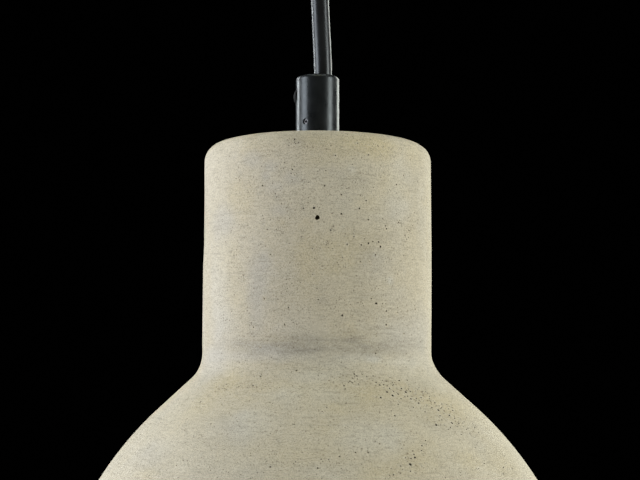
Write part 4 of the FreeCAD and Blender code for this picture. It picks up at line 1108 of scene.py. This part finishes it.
def run_of(pts, start, end):
    """The stretch of a line between two distances along it, in mm; end is
    counted back from the line's end when it isn't positive."""
    total = sum((b - a).length for a, b in zip(pts, pts[1:]))
    lo, hi = start * MM, end * MM if end > 0 else total + end * MM
    out, at = [], 0.0
    for a, b in zip(pts, pts[1:]):
        d = (b - a).length
        for want in (lo, hi):
            if at < want < at + d:
                out.append((want, a.lerp(b, (want - at) / d)))
        if lo <= at <= hi:
            out.append((at, a.copy()))
        at += d
    if lo <= at <= hi:
        out.append((at, pts[-1].copy()))
    out.sort(key=lambda t: t[0])
    line = [out[0][1]]
    for _, p in out[1:]:
        if (p - line[-1]).length > 1e-6:
            line.append(p)
    return line


def strands(path, spread=0.00037, thick=0.000185, lay=420.0):
    """Seven bare wires twisted together."""
    fr = frames_along(path)
    shells = []
    for k in range(7):
        pts, run = [], 0.0
        for i, p in enumerate(path):
            if i:
                run += (p - path[i - 1]).length
            a = k * math.pi / 3 + run * lay
            off = 0.0 if k == 6 else spread
            pts.append(p + (fr[i][1] * math.cos(a) + fr[i][2] * math.sin(a)) * off)
        v, f = sweep(pts, thick, 8, ("round", "round"))
        shells.append((v, f, COPPER))
    return shells


def lump(centre, radii, floor, seed):
    """A drop of solder that has run out on a flat face at level floor."""
    rows, cols = 12, 24
    verts, faces = [], []
    c = Vector(centre) * MM
    for i in range(rows + 1):
        a = math.pi * i / rows
        for j in range(1 if i in (0, rows) else cols):
            b = 2 * math.pi * j / cols
            d = Vector((math.sin(a) * math.cos(b), math.sin(a) * math.sin(b), math.cos(a)))
            k = 1 + 0.14 * noise.noise(d * 1.7 + Vector((seed, 0, 0))) + 0.05 * noise.noise(d * 5 + Vector((0, seed, 0)))
            p = c + Vector((d.x * radii[0], d.y * radii[1], d.z * radii[2])) * MM * k
            if p.z < floor * MM + 0.0003:
                t = min(1.0, (floor * MM + 0.0003 - p.z) / (0.8 * MM))
                p.x, p.y = c.x + (p.x - c.x) * (1 + 0.16 * t), c.y + (p.y - c.y) * (1 + 0.16 * t)
                p.z = max(p.z, floor * MM + 0.00001)
            verts.append(p)

    def at(i, j):
        return 0 if i == 0 else 1 + (rows - 1) * cols if i == rows else 1 + (i - 1) * cols + j % cols

    for i in range(rows):
        for j in range(cols):
            q = []
            for v in (at(i, j), at(i + 1, j), at(i + 1, j + 1), at(i, j + 1)):
                if v not in q:
                    q.append(v)
            faces.append(tuple(q))
    return verts, faces


def make_lead(name, node, slot, route, bare_start=0.0, bare_end=3.4, stripe=None, extra=()):
    """A flexible core from the cord to its terminal: its insulation, the bare
    wires at its ends, and a second colour wound along it if it has one."""
    sides = 28
    line = even(spline_points(route, 40), 0.00060)
    skin = run_of(line, bare_start, -bare_end)
    v, f = sweep(skin, 0.00100, sides, ((0.00062, 0.0004), (0.00062, 0.0004)), twist=38.0 if stripe else 0.0, wobble=0.000012, seed=len(name))
    body = M[slot]
    if stripe:
        def body(k, rings=(len(skin) - 1) * sides):
            return stripe if k < rings and (k % sides) in STRIPE else M[slot]
    shells = [(v, f, body)]
    if bare_end:
        shells += strands(run_of(line, sum((b - a).length for a, b in zip(line, line[1:])) / MM - bare_end - 0.9, 0))
    if bare_start:
        shells += strands(run_of(line, 0, bare_start + 0.9))
    shells += list(extra)
    ob = compound(name, shells)
    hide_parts(node)
    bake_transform(ob)
    return ob


STRIPE = set(range(0, 6)) | set(range(14, 20))
make_lead("live_core", "live_lead", "brown_insulation",
          [(-1.25, -0.35, -20.8), (-1.3, -0.6, -18.9), (-1.7, -2.2, -16.6), (-4.2, -9.5, -15.3), (-8.2, -20, -16.0), (-11.2, -27, -16.4),
           (-12.8, -32, -15.8), (-14.0, -36.0, -12.9), (-14.0, -35.8, -8.4), (-13.0, -31.5, -6.1), (-11.2, -23.0, -6.9), (-10.0, -15.0, -7.4), (-10, -5, -7.5)])
make_lead("neutral_core", "neutral_lead", "blue_insulation",
          [(1.25, -0.35, -20.8), (1.3, -0.6, -18.9), (1.7, -2.2, -16.6), (4.4, -9.0, -15.2), (9.0, -19.0, -15.8), (12.6, -25.5, -16.3),
           (14.8, -30.5, -15.7), (16.2, -34.5, -12.6), (16.2, -34.3, -8.2), (15.0, -30.0, -6.2), (12.4, -22.0, -6.8), (10.0, -15.0, -7.3), (10, -5, -7.5)])
make_lead("earth_core", "earth_lead", "green_yellow_insulation",
          [(0, -5, -7.5), (0.2, -15.0, -7.4), (1.2, -24.5, -7.8), (2.2, -32.0, -10.1), (2.6, -34.6, -15.7), (2.0, -32.4, -21.8),
           (0.8, -25.5, -24.6), (0.1, -18.5, -25.08), (0.0, -11.6, -25.25)],
          bare_start=3.4, bare_end=4.6, stripe=YELLOW,
          extra=[(*lump((0, -12.9, -25.55), (1.55, 2.5, 0.95), -26.2, 3.0), SOLDER)])


def turned_grid(name, columns, rows, radius_at, sharp=40.0):
    """A closed turned piece. rows is a list of (r, z) in mm round its section,
    and radius_at(r, z, turn, row) bends it."""
    n = len(rows)
    verts, faces = [], []
    for i, (r, z) in enumerate(rows):
        for j in range(columns):
            t = j / columns
            rr, zz = radius_at(r, z, t, i)
            verts.append((rr * MM * math.cos(2 * math.pi * t), rr * MM * math.sin(2 * math.pi * t), zz * MM))
    for i in range(n):
        for j in range(columns):
            a, b = i * columns + j, i * columns + (j + 1) % columns
            c, e = ((i + 1) % n) * columns + (j + 1) % columns, ((i + 1) % n) * columns + j
            faces.append((a, b, c, e))
    return mesh_object(name, verts, faces, sharp)


def fade(z, low, high, over):
    a, b = min(1.0, max(0.0, (z - low) / over)), min(1.0, max(0.0, (high - z) / over))
    return a * a * (3 - 2 * a) * b * b * (3 - 2 * b)


def thread_wave(z, t, pitch, flat=0.0):
    """0 at the root of a thread and 1 at its crest."""
    k = 0.5 - 0.5 * math.cos(2 * math.pi * (z / pitch - t))
    if flat:
        k = min(1.0, max(0.0, (k - 0.5) * (1 + flat) + 0.5))
    return k


def make_screw_shell():
    """The lampholder's rolled E27 shell, one thin sheet with its thread in it."""
    base = -229.5
    rows = [(13.62, 0.0), (13.45, 0.0)]
    inner = [(13.40, z) for z in np.linspace(0.15, 19.6, 92)]
    slope = [(13.30, 20.3), (13.05, 20.9), (12.4, 21.9), (11.8, 22.7), (11.3, 22.95), (10.4, 23.0), (6.0, 23.0), (3.25, 23.0), (3.0, 23.1), (3.0, 23.4), (3.2, 23.5),
             (6.0, 23.5), (10.6, 23.5), (11.6, 23.4), (12.3, 22.9), (13.0, 21.9), (13.5, 21.1), (13.68, 20.4)]
    outer = [(13.72, z) for z in np.linspace(19.6, 0.15, 92)]
    rows += inner + slope + outer
    rows = [(r, base + z) for r, z in rows]

    def bend(r, z, t, i):
        k = fade(z, base + 0.9, base + 19.4, 2.2)
        if r > 13.1 and z < base + 19.9:
            r -= 1.12 * k * thread_wave(z, t, 3.62)
        return r, z

    ob = turned_grid("rolled_screw_shell", 128, rows, bend)
    ob.data.materials.append(M["nickel"])
    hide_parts("screw_shell")
    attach(ob, "shade")


def make_threaded_tube(name, node, body, low, high):
    """An M10 x 1 tube with its thread and chamfered ends."""
    steps = int((high - low - 1.0) / 0.125)
    rows = [(4.45, high), (4.72, high - 0.22)] + [(4.95, z) for z in np.linspace(high - 0.5, low + 0.5, steps)]
    rows += [(4.72, low + 0.22), (4.45, low), (4.2, low), (4.0, low + 0.2)] + [(4.0, z) for z in np.linspace(low + 1, high - 1, 8)] + [(4.0, high - 0.2), (4.2, high)]

    def bend(r, z, t, i):
        if r > 4.9:
            r -= 0.56 * (1 - thread_wave(z, t, 1.0, 0.55)) * (0.25 + 0.75 * fade(z, low, high, 1.0))
        return r, z

    ob = turned_grid(name, 64, rows, bend, 30)
    ob.data.materials.append(M["zinc_steel"])
    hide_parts(node)
    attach(ob, body)


def make_nut(name, node, body, low, high):
    """A thin hexagon nut with chamfered corners and a round bore."""
    rows = [(6.75, low), (8.0, low + 0.55), (8.0, (low + high) / 2), (8.0, high - 0.55), (6.75, high), (5.55, high), (5.02, high - 0.45)]
    rows += [(5.0, z) for z in np.linspace(high - 0.6, low + 0.6, 18)] + [(5.02, low + 0.45), (5.55, low)]

    def bend(r, z, t, i):
        if r > 7:
            a = (t * 6) % 1.0
            hexa = min(7.93, 7.0 / math.cos(math.radians(abs(a - 0.5) * 60)))
            drop = max(0.0, hexa - 6.9) * 0.577
            if z > (low + high) / 2 + 0.1:
                return hexa, high - drop - 0.02
            if z < (low + high) / 2 - 0.1:
                return hexa, low + drop + 0.02
            return hexa, z
        return r, z

    ob = turned_grid(name, 96, rows, bend, 24)
    ob.data.materials.append(M["zinc_steel"])
    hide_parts(node)
    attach(ob, body)


def make_contact_spring():
    """The small coil behind the centre contact, with closed turns at both ends."""
    low, high, wire, r = -204.96, -197.75, 0.27, 2.6
    tight = 0.60
    rise = high - low - 2 * wire
    turns = 0.9 + 3.8 + 0.9
    path, n = [], 280
    for i in range(n + 1):
        t = turns * i / n
        if t < 0.9:
            z = tight * t
        elif t > turns - 0.9:
            z = rise - tight * (turns - t)
        else:
            z = tight * 0.9 + (rise - 1.8 * tight) * (t - 0.9) / 3.8
        a = 2 * math.pi * t
        path.append(Vector((r * MM * math.cos(a), r * MM * math.sin(a), (low + wire + z) * MM)))
    verts, faces = sweep(path, wire * MM, 12, ("flat", "flat"))
    ob = mesh_object("coiled_contact_spring", verts, faces, 50)
    ob.data.materials.append(M["spring_steel"])
    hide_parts("contact_spring")
    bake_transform(ob)


make_screw_shell()
make_contact_spring()
make_threaded_tube("canopy_threaded_tube_cut", "canopy_threaded_tube", "canopy", -38.8, -22.0)
make_threaded_tube("shade_threaded_tube_cut", "shade_threaded_tube", "shade", -180.0, -145.2)
make_nut("canopy_hex_nut", "canopy_nut", "canopy", -26.2, -23.2)
make_nut("shade_hex_nut", "shade_nut", "shade", -171.5, -168.5)


# ------------------------------------------------------------------ stage and lights
def make_stage():
    n, half, level = 40, 8.0, -1.15
    verts = [((-1 + 2 * i / n) * half, (-1 + 2 * j / n) * half, level) for j in range(n + 1) for i in range(n + 1)]
    faces = [(j * (n + 1) + i, j * (n + 1) + i + 1, (j + 1) * (n + 1) + i + 1, (j + 1) * (n + 1) + i) for j in range(n) for i in range(n)]
    me = bpy.data.meshes.new("floor")
    me.from_pydata(verts, [], faces)
    ob = link(bpy.data.objects.new("floor", me))
    m = Mat("pale_floor")
    m.set(Base_Color=m.mix(m.noise(1.2, 3, 0.5), (0.70, 0.69, 0.67), (0.76, 0.75, 0.73)), Roughness=0.7)
    me.materials.append(m.m)


def softbox(name, azimuth, distance, width, height, power, colour=(1, 1, 1), level=-0.19, aim=-0.20):
    """A tall soft light. azimuth is the angle round from the front, left is minus."""
    data = bpy.data.lights.new(name, "AREA")
    data.shape = "RECTANGLE"
    data.size, data.size_y = width, height
    data.energy = power
    data.color = colour
    ob = link(bpy.data.objects.new(name, data))
    a = math.radians(azimuth)
    ob.location = (distance * math.sin(a), -distance * math.cos(a), level)
    ob.rotation_euler = (Vector((0, 0, aim)) - ob.location).to_track_quat("-Z", "Y").to_euler()
    ob.visible_camera = False
    return ob


make_stage()
softbox("left_soft", -75, 0.95, 0.56, 1.3, 12.5, (0.965, 0.98, 1.05), level=-0.34)
softbox("right_soft", 71, 0.95, 0.36, 1.15, 9.5, (0.985, 0.99, 0.955), level=-0.34)
softbox("left_rim", -125, 1.0, 0.10, 0.44, 3.1, (0.96, 1.0, 1.02), level=0.15)
softbox("right_rim", 142, 1.0, 0.34, 1.3, 7.8, (0.97, 1.0, 0.92))
softbox("top_soft", 10, 0.10, 1.4, 1.4, 18.6, (0.95, 0.985, 0.965), level=1.3)
softbox("high_front", 4, 0.75, 0.9, 0.9, 1.8, (1.05, 0.975, 0.60), level=0.85)

world = bpy.data.worlds.new("studio")
world.use_nodes = True
world.node_tree.nodes["Background"].inputs[0].default_value = (0.0002, 0.0002, 0.0002, 1)
world.node_tree.nodes["Background"].inputs[1].default_value = 1.0
scene.world = world
